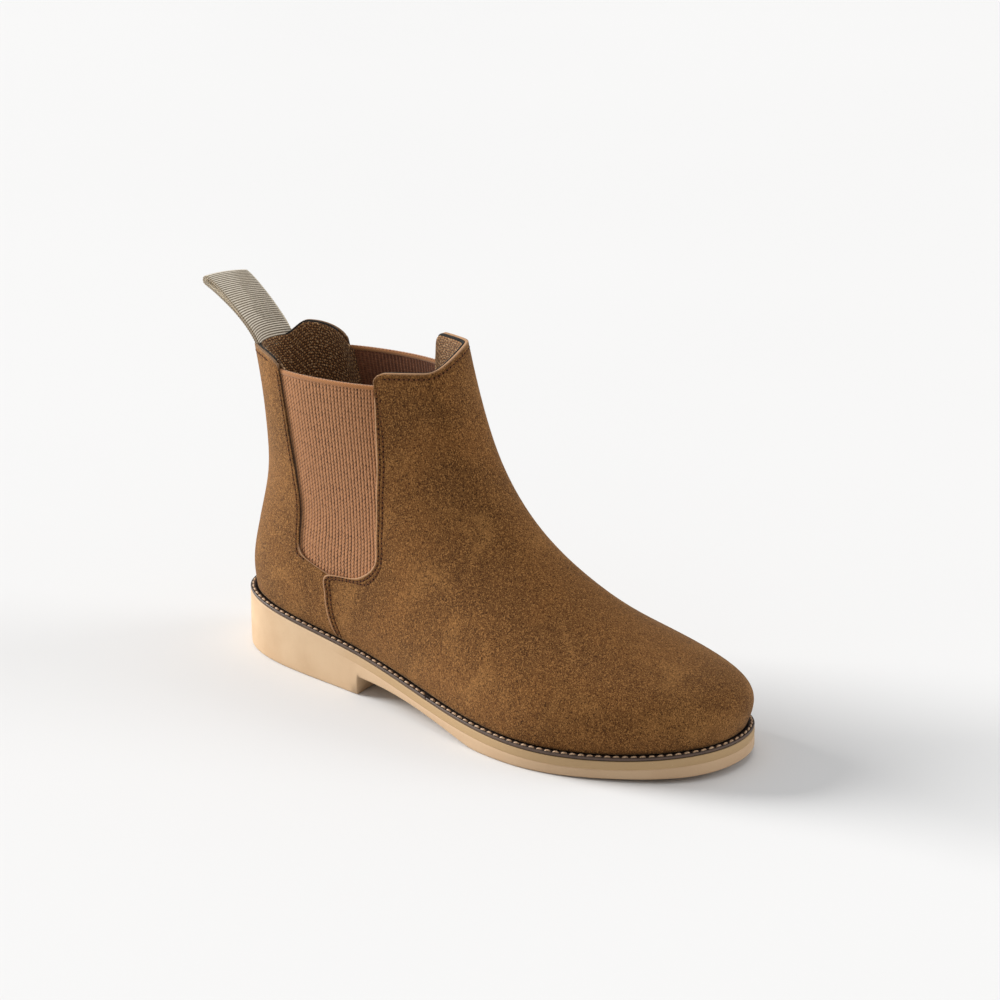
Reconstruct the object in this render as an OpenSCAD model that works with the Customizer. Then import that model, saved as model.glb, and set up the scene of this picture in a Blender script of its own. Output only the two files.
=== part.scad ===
// Chelsea boot for the right foot: welted suede ankle boot on a moulded rubber unit sole.
// +X points to the toe, +Y to the inner (medial) side of the foot, +Z up.
// The origin is on the floor, under the middle of the heel.

/* [Upper] */
// Thickness of the suede
leather_t = 1.6; // [1.2:0.1:1.8]
// Thickness of the woven textile lining
lining_t = 0.7; // [0.4:0.1:0.9]
// Thickness of the elastic webbing in the side gores
gore_t = 1.2; // [0.8:0.1:1.3]
// Clear space between neighbouring layers
layer_gap = 0.2; // [0.1:0.05:0.3]

/* [Sole] */
// Thickness of the welt
welt_t = 3; // [2:0.5:4]
// How far the welt stands out from the feather edge
welt_out = 3.4; // [2.5:0.1:4.5]
// Height of the arch notch just ahead of the heel
notch_h = 9.5; // [6:0.5:11]
// Distance from the back of the heel to its front (breast) face
heel_length = 94; // [85:1:100]
// How far the tip of the sole rises from the floor
toe_spring = 3.5; // [1:0.5:6]
// Length of one welt stitch
welt_stitch = 3.1; // [2:0.1:3.6]
// Spacing of the welt stitches
welt_pitch = 4.1; // [4:0.1:6]

/* [Pull loop] */
// Width of the pull-loop webbing
loop_w = 25; // [18:1:30]
// Length of the pull loop from its base to its tip
loop_length = 42; // [36:1:60]
// Widest inside gap of the pull loop
loop_gap = 8; // [7.5:0.5:12]
// Thickness of the webbing
loop_t = 1.5; // [1:0.1:2]
// How far the loop leans back from upright, in degrees
loop_lean = 53; // [20:1:60]

/* [Hidden] */

suede = [0.49, 0.34, 0.19];
rubber = [0.78, 0.66, 0.5];
elastic = [0.62, 0.42, 0.27];
textile = [0.36, 0.24, 0.15];
webbing = [0.75, 0.69, 0.6];
thread = [0.85, 0.72, 0.58];
dark_edge = [0.2, 0.18, 0.18];
board = [0.7, 0.58, 0.42];
foam = [0.8, 0.78, 0.72];
steel = [0.6, 0.62, 0.65];
cork = [0.66, 0.5, 0.34];

heel_centre = 38;
COLUMNS = 16;
BACK = 0;
FRONT = 8;

// Measures of the last, one ring after another from the feather edge up to the top line.
// Each ring: back x, back z, front x, front z, share of shaft shape (0 foot, 1 shaft),
// then the half widths from back to front. x is measured from the back of the last.
rings = [
    [5, 32, 285.5, 15, 0, 17.5, 31, 32.5, 39, 50, 39.5, 23],
    [2.5, 45, 288, 28, 0.05, 17, 32.7, 35.8, 41, 50, 42.5, 25],
    [4, 60, 278, 39.5, 0.12, 15, 32.3, 36.4, 39.6, 44.2, 36, 21.5],
    [7, 76, 251, 50, 0.25, 13.6, 30.6, 35.5, 36.8, 36.2, 27, 16.5],
    [10, 93, 210, 68, 0.45, 12.6, 28.5, 33.5, 34.2, 30.2, 21.4, 13],
    [10, 111, 168, 95, 0.7, 12.2, 27.5, 32, 31.6, 26.1, 18.1, 11],
    [7.5, 133, 141, 131, 0.9, 12.3, 26.3, 30.5, 29.6, 24, 18.2, 12.5],
    [2.5, 155.5, 128, 168, 1, 12, 25, 29.5, 28.5, 23.3, 18, 12.5],
];
// Places of the measures along a ring, from the back (0) to the front (1)
foot_places = [0, 0.015, 0.12, 0.32, 0.52, 0.72, 0.88, 0.975, 1];
shaft_places = [0, 0.03, 0.2, 0.42, 0.64, 0.8, 0.91, 0.98, 1];
// Every 60 mm from the heel: how far the last bends to the inner side
last_bend = [0, -1, -3.5, -7, 2, 8.5];
bend_step = 60;
// Every 40 mm from the heel: height of the feather edge
feather_heights = [32, 28.5, 25.2, 19.2, 14, 12, 11.2, 15.5];
feather_step = 40;
// How much of the feather edge's wave the first rings keep, and their height over it
ring_wave = [[1, 0], [0.6, 13], [0.2, 27]];

// Edges of the panels on the lateral side, as [place round the ring, ring number]
vamp_edge = [[2.7, 0], [2.65, 0.7], [2.62, 1.5], [2.63, 2.22], [2.98, 2.55],
             [3.32, 3.3], [3.55, 4.14], [3.89, 5], [4.2, 5.7], [4.53, 6.75]];
quarter_edge = [[2.7, 0], [2.65, 0.7], [2.62, 1.5], [2.63, 2.22], [2.26, 2.58],
                [2.26, 4.2], [2.27, 5.3], [2.24, 6.75]];
gore_top = 6.75;
flex_ring = 2.64;
// How far the tabs rise over the gores, in rings
front_rise_lateral = 0.2;
front_rise_medial = 0.44;
back_seam_rise = 0.25;
back_rise_lateral = 0.27;
back_rise_medial = 0.5;
back_top = gore_top + back_seam_rise;

gore_depth = leather_t + layer_gap;
lining_depth = gore_depth + gore_t + layer_gap;
upper_t = lining_depth + lining_t;

// ---- Curves and the skin of the last ----

function mix(a, b, f) = a * (1 - f) + b * f;
function clamp01(f) = min(1, max(0, f));
function smooth(f) = let (c = clamp01(f)) c * c * (3 - 2 * c);
function unit(v) = v / norm(v);

// Smooth curve through the points p, at place f from 0 to 1
function through(p, f) =
    let (
        last = len(p) - 1,
        k = min(floor(f * last), last - 1),
        g = f * last - k,
        b = p[k],
        c = p[k + 1],
        a = k > 0 ? p[k - 1] : 2 * b - c,
        d = k < last - 1 ? p[k + 2] : 2 * c - b
    )
    0.5 * (2 * b + (c - a) * g + (2 * a - 5 * b + 4 * c - d) * g * g
        + (3 * b - a - 3 * c + d) * g * g * g);

function along(list, step, x) = through(list, clamp01(x / (step * (len(list) - 1))));
function feather_z(x) = along(feather_heights, feather_step, x);
function bend_y(x) = along(last_bend, bend_step, x);

function ring_z(i, x, z) =
    i < len(ring_wave)
        ? mix(z, feather_z(x) + ring_wave[i][1], ring_wave[i][0])
        : z;

function measured(i, j) =
    let (
        r = rings[i],
        k = j <= FRONT ? j : COLUMNS - j,
        place = mix(foot_places[k], shaft_places[k], r[4]),
        x = mix(r[0], r[2], place),
        w = k == BACK || k == FRONT ? 0 : r[4 + k],
        side = j <= FRONT ? -1 : 1
    )
    [x - heel_centre, bend_y(x) * (1 - 0.9 * r[4]) + side * w, ring_z(i, x, mix(r[1], r[3], place))];

// The spline's control points are pushed out so that the skin passes through the measures
function pushed(a, b, c) = b - (a - 2 * b + c) / 6;
last_ring = len(rings) - 1;
taken = [for (i = [0:last_ring]) [for (j = [0:COLUMNS - 1]) measured(i, j)]];
rounded = [for (r = taken) [for (j = [0:COLUMNS - 1])
    pushed(r[(j + COLUMNS - 1) % COLUMNS], r[j], r[(j + 1) % COLUMNS])]];
extended = concat([2 * rounded[0] - rounded[1]], rounded, [2 * rounded[last_ring] - rounded[last_ring - 1]]);
inner_net = [for (i = [1:last_ring + 1]) [for (j = [0:COLUMNS - 1])
    pushed(extended[i - 1][j], extended[i][j], extended[i + 1][j])]];
net = concat([2 * inner_net[0] - inner_net[1]], inner_net,
    [2 * inner_net[last_ring] - inner_net[last_ring - 1]]);

function weights(f) =
    [pow(1 - f, 3), 3 * f * f * f - 6 * f * f + 4, -3 * f * f * f + 3 * f * f + 3 * f + 1, f * f * f] / 6;

// Point of the boot's outer skin: u goes round (0 back, 4 lateral, 8 front), v goes up the rings
function skin(u, v) =
    let (
        i = floor(u),
        j = min(max(floor(v), 0), last_ring - 1),
        wu = weights(u - i),
        wv = weights(v - j)
    )
    wv * [for (b = [0:3]) wu * [for (a = [0:3]) net[j + b][(i + a + 2 * COLUMNS - 1) % COLUMNS]]];

// Outward direction of the skin
function outward(u, v) =
    let (e = 0.02)
    unit(cross(skin(u + e, v) - skin(u - e, v), skin(u, v + e) - skin(u, v - e)));

// Point at a depth below the skin
function under(u, v, depth) = skin(u, v) - outward(u, v) * depth;

// ---- Closed solids from grids of points ----

function quads(rows, cols, base, flip) =
    [for (i = [0:rows - 2]) for (j = [0:cols - 2])
        let (a = base + i * cols + j, b = a + cols)
        for (t = flip ? [[a, b + 1, b], [a, a + 1, b + 1]] : [[a, b, b + 1], [a, b + 1, a + 1]]) t];

function rim(list, shift) =
    [for (k = [0:len(list) - 2])
        let (a = list[k], b = list[k + 1])
        for (t = [[a, b, b + shift], [a, b + shift, a + shift]]) t];

// Closed solid between two grids of points of the same size, front seen first
module slab(front, back) {
    rows = len(front);
    cols = len(front[0]);
    size = rows * cols;
    bottom = [for (j = [0:cols - 1]) j];
    right = [for (i = [0:rows - 1]) i * cols + cols - 1];
    top = [for (j = [cols - 1:-1:0]) (rows - 1) * cols + j];
    left = [for (i = [rows - 1:-1:0]) i * cols];
    polyhedron(
        [for (grid = [front, back]) for (row = grid) for (p = row) p],
        concat(quads(rows, cols, 0, false), quads(rows, cols, size, true),
            rim(bottom, size), rim(right, size), rim(top, size), rim(left, size)));
}

// Sheet over a grid of [u, v, depth] places, with a thickness
module sheet(grid, thickness) {
    slab([for (row = grid) [for (p = row) under(p[0], p[1], p[2])]],
         [for (row = grid) [for (p = row) under(p[0], p[1], p[2] + thickness)]]);
}

// Places between two edges given as lists of [u, v]; steps counts the columns
function between(edge_a, edge_b, steps, depth) =
    [for (i = [0:len(edge_a) - 1]) [for (k = [0:steps])
        let (p = mix(edge_a[i], edge_b[i], k / steps)) [p[0], p[1], depth]]];

function mirrored(p) = [COLUMNS - p[0], p[1]];
function sampled(edge, n) = [for (i = [0:n]) through(edge, i / n)];
function mirror_grid(grid) =
    [for (row = grid) [for (k = [len(row) - 1:-1:0]) [COLUMNS - row[k][0], row[k][1], row[k][2]]]];

// ---- Upper ----

// Share of the height at which a tab's rounded top begins to rise
function lifted(v, rise) = v + rise * smooth((v - 4.5) / (gore_top - 4.5));
// Quarter round from 0 to 1
function round_corner(f) = let (c = clamp01(f)) sqrt(1 - (1 - c) * (1 - c));
// Rise of the front tab: a round corner beside each gore, and a slow climb to the medial side
front_tab_edge = 4.5;
front_corner_w = 0.42;
front_climb_start = 6.2;
front_climb_w = 2.8;
function front_rise(u) =
    mix(front_rise_lateral, front_rise_medial, smooth((u - front_climb_start) / front_climb_w))
        * round_corner((min(u, COLUMNS - u) - front_tab_edge) / front_corner_w);
// Rise of the back tab at a place u from the seam: a dome on each side, higher on the medial side
back_corner_w = 0.85;
back_dome_start = 1;
back_dome_w = 0.6;
back_edge_u = 2.26;
function back_rise(u, side) =
    let (dome = side < 0 ? back_rise_lateral : back_rise_medial)
    mix(back_seam_rise, dome, smooth((u - back_dome_start) / back_dome_w))
        * round_corner((back_edge_u - u) / back_corner_w);

vamp_rows = 22;
vamp_cols = 38;

function vamp_grid(depth, inset, rows, cols) =
    [for (row = between([for (p = sampled(vamp_edge, rows)) [p[0] + inset, p[1]]],
            [for (p = sampled(vamp_edge, rows)) [COLUMNS - p[0] - inset, p[1]]], cols, depth))
        [for (p = row) [p[0], lifted(p[1], front_rise(p[0])), p[2]]]];

module vamp() {
    color(suede) sheet(vamp_grid(0, 0, vamp_rows, vamp_cols), leather_t);
}

quarter_cols = 10;
// Rows of the quarter's front edge, cut at the flex line
function quarter_rows(low, high, n) =
    [for (i = [0:n]) let (v = mix(low, high, i / n)) [edge_u(quarter_edge, v), v]];
// Place round the ring at which an edge stands at ring number v
function edge_u(edge, v) =
    let (hits = [for (k = [0:len(edge) - 2]) if (v >= edge[k][1] && v <= edge[k + 1][1])
        mix(edge[k][0], edge[k + 1][0], (v - edge[k][1]) / (edge[k + 1][1] - edge[k][1]))])
    hits[0];

seam_gap = 0.03;
function quarter_grid(side, low, high, n, inset) =
    let (front = quarter_rows(low, high, n))
    [for (p = front) [for (k = [0:quarter_cols])
        let (u = mix(seam_gap, p[0] - inset, k / quarter_cols)) [u, lifted(p[1], back_rise(u, side)), 0]]];

module quarter_lower(side) {
    grid = quarter_grid(side, 0, flex_ring - 0.03, 10, 0.015);
    color(suede) sheet(side < 0 ? grid : mirror_grid(grid), leather_t);
}

module quarter_upper(side) {
    grid = quarter_grid(side, flex_ring, gore_top, 12, 0);
    color(suede) sheet(side < 0 ? grid : mirror_grid(grid), leather_t);
}

module quarter_lateral_lower() quarter_lower(-1);
module quarter_medial_lower() quarter_lower(1);
module quarter_lateral_upper() quarter_upper(-1);
module quarter_medial_upper() quarter_upper(1);

// Elastic gore: from under the quarter's margin to under the vamp's margin
gore_lap = 0.2;
gore_low = 1.95;
gore_rows = 14;
gore_cols = 10;
function gore_grid(low, high, n, depth) =
    [for (i = [0:n])
        let (
            v = mix(low, high, i / n),
            rear = edge_u(quarter_edge, max(v, 2.6)) - gore_lap,
            fore = edge_u(vamp_edge, max(v, 2.9)) + gore_lap
        )
        [for (k = [0:gore_cols]) [mix(rear, fore, k / gore_cols), v, depth]]];

module gore(side) {
    grid = gore_grid(gore_low, gore_top - band_h - 0.01, gore_rows, gore_depth);
    color(elastic) sheet(side < 0 ? grid : mirror_grid(grid), gore_t);
}

module gore_lateral() gore(-1);
module gore_medial() gore(1);

// Rolled top edge of the elastic, between the two tabs: it stands out a little from the gore
band_h = 0.1;
band_out = 0.5;
module gore_band(side) {
    grid = [for (i = [0:2])
        let (
            v = mix(gore_top - band_h, gore_top, i / 2),
            rear = edge_u(quarter_edge, v) + 0.03,
            fore = edge_u(vamp_edge, v) - 0.04
        )
        [for (k = [0:gore_cols]) [mix(rear, fore, k / gore_cols), v, gore_depth - band_out]]];
    color(elastic * 0.85) sheet(side < 0 ? grid : mirror_grid(grid), gore_t + band_out);
}

module gore_band_lateral() gore_band(-1);
module gore_band_medial() gore_band(1);

module toe_puff() {
    grid = [for (i = [0:8])
        let (v = mix(0.08, 2.1, i / 8))
        [for (k = [0:16]) [mix(6.1, 9.9, k / 16), v, gore_depth]]];
    color(board) sheet(grid, gore_t);
}

// Stiffener cupped round the heel, between the quarters and the lining; its wings stop behind the gores
counter_top = 2.3;
module heel_counter() {
    grid = [for (i = [0:8])
        let (v = mix(0.08, counter_top, i / 8), reach = 2.45 - 0.65 * smooth(v / (gore_low - 0.05)))
        [for (k = [0:20]) [mix(-reach, reach, k / 20) + COLUMNS, v, gore_depth]]];
    color(board) sheet(grid, gore_t);
}

lining_lap = 0.12;
module vamp_lining() {
    color(textile) sheet(vamp_grid(lining_depth, -lining_lap, 18, 32), lining_t);
}

module back_lining() {
    front = quarter_rows(0, gore_top, 20);
    grid = [for (p = front)
        let (reach = p[0] + (p[1] < 2.4 ? -lining_lap - 0.04 : lining_lap))
        [for (k = [0:18])
            let (u = mix(-reach, reach, k / 18))
                [u + COLUMNS, lifted(p[1], back_rise(abs(u), -u)), lining_depth]]];
    color(textile) sheet(grid, lining_t);
}

// Folded edge strip that closes the top of a tab, between suede and lining
module edge_binding(grid) {
    color(dark_edge) sheet(grid, lining_depth - gore_depth - 0.1);
}

binding_h = 0.13;
// How far round the ring the loop's sewn-in tail reaches each side of the back seam
tail_reach = 0.95;
module front_edge_binding() {
    edge_binding([for (i = [0:2]) [for (k = [0:24])
        let (u = mix(4.75, COLUMNS - 4.75, k / 24), v = gore_top - binding_h * (1 - i / 2))
        [u, lifted(v, front_rise(u)), gore_depth]]]);
}

// Two strips, one each side of the pull loop's webbing
function back_strip(side) =
    [for (i = [0:2]) [for (k = [0:10])
        let (u = mix(tail_reach + 0.05, 2.05, k / 10), v = gore_top - binding_h * (1 - i / 2))
        [u, lifted(v, back_rise(u, side)), gore_depth]]];
module back_edge_binding() {
    edge_binding(back_strip(-1));
    edge_binding(mirror_grid(back_strip(1)));
}

// Thin raised piping down the seam at the back
piping_w = 0.07;
piping_t = 0.6;
piping_out = 1;
module back_piping() {
    grid = [for (i = [0:24])
        let (v = mix(0.05, back_top, i / 24))
        [for (k = [-1:1]) [COLUMNS + k * piping_w, v, -piping_out + 0.15 * abs(k)]]];
    color(suede * 0.6) sheet(grid, piping_t);
}

// ---- Stitching ----

thread_d = 0.6;
// Stitches lie on the suede, with their middle this far above it
stitch_lift = 0.4;

// One round stitch between two points
module stitch(a, b, thick) {
    d = b - a;
    translate(a)
        rotate([0, acos(d[2] / norm(d)), atan2(d[1], d[0])])
            cylinder(d = thick, h = norm(d), $fn = 6);
}

// Row of stitches along a line of [u, v] places on the skin
module seam(line, count) {
    for (i = [0:count - 1]) {
        a = through(line, (i + 0.2) / count);
        b = through(line, (i + 0.75) / count);
        stitch(under(a[0], a[1], -stitch_lift), under(b[0], b[1], -stitch_lift), thread_d);
    }
}

function shifted(line, du, dv) = [for (p = line) [p[0] + du, p[1] + dv]];
function mirror_line(line) = [for (p = line) mirrored(p)];
vamp_low_line = [for (i = [0:3]) vamp_edge[i]];
vamp_high_line = [for (i = [3:9]) vamp_edge[i]];
quarter_line = [for (i = [4:7]) quarter_edge[i]];

// Two rows along the vamp's edge, up the side seam and round the gore
module vamp_stitching(side) {
    color(thread * 0.6)
        for (row = [0.07, 0.15]) {
            low = shifted(vamp_low_line, row, 0.05);
            high = shifted(vamp_high_line, row, -row * 0.8);
            seam(side < 0 ? low : mirror_line(low), 11);
            seam(side < 0 ? high : mirror_line(high), 40);
        }
}

module vamp_stitching_lateral() vamp_stitching(-1);
module vamp_stitching_medial() vamp_stitching(1);

// One row down the quarter's edge, beside the gore
module quarter_stitching(side) {
    rear = shifted(quarter_line, -0.14, 0.1);
    color(thread * 0.6) seam(side < 0 ? rear : mirror_line(rear), 28);
}

module quarter_stitching_lateral() quarter_stitching(-1);
module quarter_stitching_medial() quarter_stitching(1);

// How far under the top edge, in rings, the topline row runs
topline_row = 0.14;
module topline_stitching_front() {
    line = [for (k = [0:24])
        let (u = mix(4.9, COLUMNS - 4.9, k / 24))
        [u, lifted(gore_top - topline_row, front_rise(u))]];
    color(thread * 0.6) seam(line, 34);
}

module topline_stitching_back() {
    color(thread * 0.6)
        for (side = [-1, 1]) {
            line = [for (k = [0:10])
                let (u = mix(0.25, 1.98, k / 10))
                [u, lifted(gore_top - topline_row, back_rise(u, side))]];
            seam(side < 0 ? line : mirror_line(line), 12);
        }
}

// ---- Sole ----

// Sideways direction out of the feather edge, level with the floor
function out_of(u) =
    let (e = 0.05, t = skin(u + e, 0) - skin(u - e, 0), n = norm([t[0], t[1]]))
    [t[1] / n, -t[0] / n, 0];
// Feather edge moved out by a distance, with its height moved by dz
function edge_at(u, out, dz) = skin(u, 0) + out_of(u) * out + [0, 0, dz];
function from_heel(p) = p[0] + heel_centre;
// Place on the feather edge at a distance from the back of the last
function place_at(x, low = 0, high = 8, n = 24) =
    n == 0 ? (low + high) / 2
    : let (m = (low + high) / 2)
        skin(m, 0)[0] + heel_centre < x ? place_at(x, m, high, n - 1) : place_at(x, low, m, n - 1);

arch_start = 100;
tread_start = 178;
tread_end = 205;
sole_end = 290;
// Height of the arch as a share of the notch, at a share of the way from its start to the tread
function arch_share(f) = pow(1 - f * f, 1.15);
// Height of the underside at a distance from the back of the heel
function underside(x, ahead) =
    !ahead && x <= heel_length + 1 ? 0
    : x < tread_start ? notch_h * arch_share(clamp01((x - arch_start) / (tread_start - arch_start)))
    : x > tread_end ? toe_spring * pow((x - tread_end) / (sole_end - tread_end), 2)
    : 0;

function heights(p, z) = [p[0], p[1], z];

// Cross-section of the rubber unit at one place, from lateral edge to medial edge
function sole_section(u, ahead) =
    let (
        lat = edge_at(u, welt_out, -welt_t - layer_gap),
        med = edge_at(COLUMNS - u, welt_out, -welt_t - layer_gap),
        zl = underside(from_heel(lat), ahead),
        zm = underside(from_heel(med), ahead),
        across = unit(med - lat + [0, 0.001, 0]),
        in = min(2, norm(med - lat) / 8)
    )
    [lat, heights(lat, mix(lat[2], zl, 0.35)), heights(lat + across * in * 0.15, zl + 1.6),
     heights(lat + across * in, zl), heights(med - across * in, zm),
     heights(med - across * in * 0.15, zm + 1.6), heights(med, mix(med[2], zm, 0.35)), med];

// Closed solid through sections that all have the same number of points
module loft(sections) {
    n = len(sections[0]);
    last = len(sections) - 1;
    polyhedron(
        [for (s = sections) for (p = s) p],
        concat(
            [for (i = [0:last - 1]) for (k = [0:n - 1])
                let (a = i * n + k, b = i * n + (k + 1) % n, c = a + n, d = b + n)
                for (t = [[a, d, c], [a, b, d]]) t],
            [for (k = [1:n - 2]) [0, k + 1, k]],
            [for (k = [1:n - 2]) [last * n, last * n + k, last * n + k + 1]]));
}

breast = place_at(heel_length);
heel_places = [for (i = [0:12]) mix(0.04, breast, 1 - cos(90 * i / 12))];
fore_places = [for (i = [1:34]) mix(breast, FRONT - 0.04, sin(90 * i / 34))];

module outsole() {
    color(rubber)
        loft(concat([for (u = heel_places) sole_section(u, false)],
            [for (u = concat([breast + 0.002], fore_places)) sole_section(u, true)]));
}

// Flat layer inside the feather edge, between two heights over it
module layer(inset, low, high, first, last, n) {
    loft([for (i = [0:n])
        let (
            u = mix(first, last, (1 - cos(180 * i / n)) / 2),
            a = edge_at(u, -inset, 0),
            b = edge_at(COLUMNS - u, -inset, 0)
        )
        [a + [0, 0, high], a + [0, 0, low], b + [0, 0, low], b + [0, 0, high]]]);
}

board_t = 2.2;
board_low = 0.3;
footbed_t = 3;
footbed_low = board_low + board_t + layer_gap;
pad_t = 2;
pad_low = footbed_low + footbed_t + layer_gap;

module insole_board() {
    color(board) layer(upper_t + 0.6, board_low, board_low + board_t, 0.25, FRONT - 0.25, 26);
}

module footbed() {
    color(textile) layer(upper_t + 1.2, footbed_low, footbed_low + footbed_t, 0.3, FRONT - 0.3, 26);
}

// Soft pad glued on the footbed, under the heel of the foot
module heel_pad() {
    color(foam) layer(upper_t + 6, pad_low, pad_low + pad_t, 0.8, 2.6, 14);
}

// Cork sheet that fills the space inside the welt, under the forepart, ahead of the shank
welt_in = 7;
filler_t = 2;
shank_start = 1.9;
shank_end = 3.8;
module filler() {
    color(cork) layer(welt_in + 0.5, -welt_t, -welt_t + filler_t, shank_end + 0.2, FRONT - 0.7, 18);
}

// Steel strip that stiffens the arch, under the insole board
shank_w = 12;
shank_t = 1;
module shank() {
    color(steel) loft([for (i = [0:10])
        let (
            u = mix(shank_start, shank_end, i / 10),
            middle = (skin(u, 0) + skin(COLUMNS - u, 0)) / 2,
            side = [0, shank_w / 2, 0],
            low = middle + [0, 0, -shank_t + 0.1],
            high = middle + [0, 0, 0.1]
        )
        [high - side, low - side, low + side, high + side]]);
}

// Leather strip round the whole boot, with its two ends meeting at the outer waist
welt_joint = 3.9;
welt_joint_gap = 0.01;
welt_top = -0.1;
module welt() {
    n = 96;
    color(dark_edge) loft([for (i = [0:n])
        let (u = welt_joint + mix(welt_joint_gap, COLUMNS - welt_joint_gap, i / n))
        [edge_at(u, -welt_in, welt_top), edge_at(u, -welt_in, -welt_t),
         edge_at(u, welt_out, -welt_t), edge_at(u, welt_out, welt_top)]]);
}

// Stitches at an even pitch along the welt, measured along its length
welt_thread = 1;
stitch_out = 2.1;
walk_steps = 320;
stitch_rise = welt_top + welt_thread / 2 + 0.1;
walk = [for (i = [0:walk_steps])
    edge_at(welt_joint + COLUMNS * i / walk_steps, stitch_out, stitch_rise)];
walked = [for (i = 0, d = 0; i <= walk_steps;
    d = i < walk_steps ? d + norm(walk[i + 1] - walk[i]) : d, i = i + 1) [d, i]];
function walk_point(d) =
    let (i = lookup(d, walked), k = min(floor(i), walk_steps - 1))
    mix(walk[k], walk[k + 1], i - k);

module welt_stitching() {
    count = floor(walked[walk_steps][0] / welt_pitch);
    pitch = walked[walk_steps][0] / count;
    color(thread)
        for (i = [0:count - 1]) {
            middle = (i + 0.5) * pitch;
            half = welt_stitch / 2;
            stitch(walk_point(middle - half), walk_point(middle + half), welt_thread);
        }
}

// ---- Pull loop ----

// The webbing's two layers lie between suede and lining, and bend just above the top edge
loop_stub = 3;
stub_clear = 0.9;
loop_root = under(BACK, back_top, gore_depth + loop_t + 1.2) + [0, 0, loop_stub];

module pull_loop_base() {
    tail = 1.0;
    grid = [for (i = [0:6]) [for (k = [0:8])
        let (u = mix(-tail_reach, tail_reach, k / 8), v = mix(back_top - tail, back_top - 0.02, i / 6))
        [u + COLUMNS, v, gore_depth]]];
    color(webbing * 0.8) {
        sheet(grid, gore_t);
        translate(loop_root - [loop_t, loop_w / 2, loop_stub - stub_clear])
            cube([2 * loop_t, loop_w, loop_stub - 0.3 - stub_clear]);
    }
}

// The free loop starts clear of its tail, so that it can swing over it
loop_start = 2.1;
// Outline of the loop seen from the side: narrow where it is sewn, round at the tip
function teardrop(tip_r, root_r, length, start) =
    concat([[start, -root_r]],
        [for (a = [-80:20:80]) [length - tip_r + tip_r * cos(a), tip_r * sin(a)]],
        [[start, root_r]]);

module pull_loop() {
    outer_r = loop_gap / 2 + loop_t;
    color(webbing)
        translate(loop_root)
            rotate([0, -90 - loop_lean, 0])
                rotate([90, 0, 0])
                    linear_extrude(loop_w, center = true)
                        difference() {
                            polygon(teardrop(outer_r, loop_t, loop_length, loop_start));
                            polygon(teardrop(outer_r - loop_t, 0.15, loop_length - loop_t, loop_start + 2.5));
                        }
}

// Two rows of stitches that hold the webbing down, through the suede
module pull_loop_stitching() {
    color(thread * 0.6)
        for (v = [back_top - 0.55, back_top - 0.85]) {
            row = [[0.13, v], [0.8, v]];
            seam(row, 4);
            seam(mirror_line(row), 4);
        }
}

outsole();
shank();
filler();
welt();
welt_stitching();
insole_board();
heel_pad();
footbed();
toe_puff();
heel_counter();
vamp();
quarter_lateral_lower();
quarter_medial_lower();
quarter_lateral_upper();
quarter_medial_upper();
gore_lateral();
gore_medial();
gore_band_lateral();
gore_band_medial();
vamp_lining();
back_lining();
front_edge_binding();
back_edge_binding();
back_piping();
pull_loop_base();
pull_loop();
pull_loop_stitching();
topline_stitching_front();
topline_stitching_back();
vamp_stitching_lateral();
vamp_stitching_medial();
quarter_stitching_lateral();
quarter_stitching_medial();
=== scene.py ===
# %% [markdown]
# # A suede chelsea boot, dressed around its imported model
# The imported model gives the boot's bodies, joints and rough solids. This script makes what the eye sees:
# suede skins with cut edges and stitches, ribbed elastic, woven lining, a grosgrain pull loop, a stitched
# welt and a moulded rubber sole. Everything is in metres, +X to the toe, +Y to the inner side, +Z up.

# %% Load the frame
import math

import bmesh
import bpy
import numpy as np
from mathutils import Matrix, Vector


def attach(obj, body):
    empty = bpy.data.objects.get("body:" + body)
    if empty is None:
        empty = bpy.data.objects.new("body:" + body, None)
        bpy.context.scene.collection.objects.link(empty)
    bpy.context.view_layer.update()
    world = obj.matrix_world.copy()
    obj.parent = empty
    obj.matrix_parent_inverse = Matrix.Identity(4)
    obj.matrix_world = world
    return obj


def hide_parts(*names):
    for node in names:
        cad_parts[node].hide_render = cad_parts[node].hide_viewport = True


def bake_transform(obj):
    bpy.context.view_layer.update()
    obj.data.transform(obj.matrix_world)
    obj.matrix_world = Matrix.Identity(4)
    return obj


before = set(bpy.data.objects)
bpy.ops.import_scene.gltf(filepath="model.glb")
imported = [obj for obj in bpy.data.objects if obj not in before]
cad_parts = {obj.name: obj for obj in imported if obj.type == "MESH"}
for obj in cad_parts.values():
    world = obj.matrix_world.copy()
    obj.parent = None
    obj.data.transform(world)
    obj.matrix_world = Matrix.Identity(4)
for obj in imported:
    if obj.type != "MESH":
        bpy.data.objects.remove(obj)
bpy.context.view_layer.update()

# %% [markdown]
# ## The last
# A shoemaker pulls flat leather over a wooden foot, the last. All panels of the upper lie on one surface,
# so the surface comes first. It is a smooth net (a bicubic B-spline) through eight rings of measures, the
# same ones that the solids were made on. A place on it is (u, v): u goes round, 0 at the back seam, 4 on
# the outer side, 8 at the toe, 12 on the inner side; v goes up, 0 at the welt and 7 at the top.
# A sculpted mesh would work too, but with a formula each panel can be cut along its own edge line.

# %% Measures of the last, in millimetres
MM = 0.001
AROUND, FRONT = 16, 8
HEEL_CENTRE = 38
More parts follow.
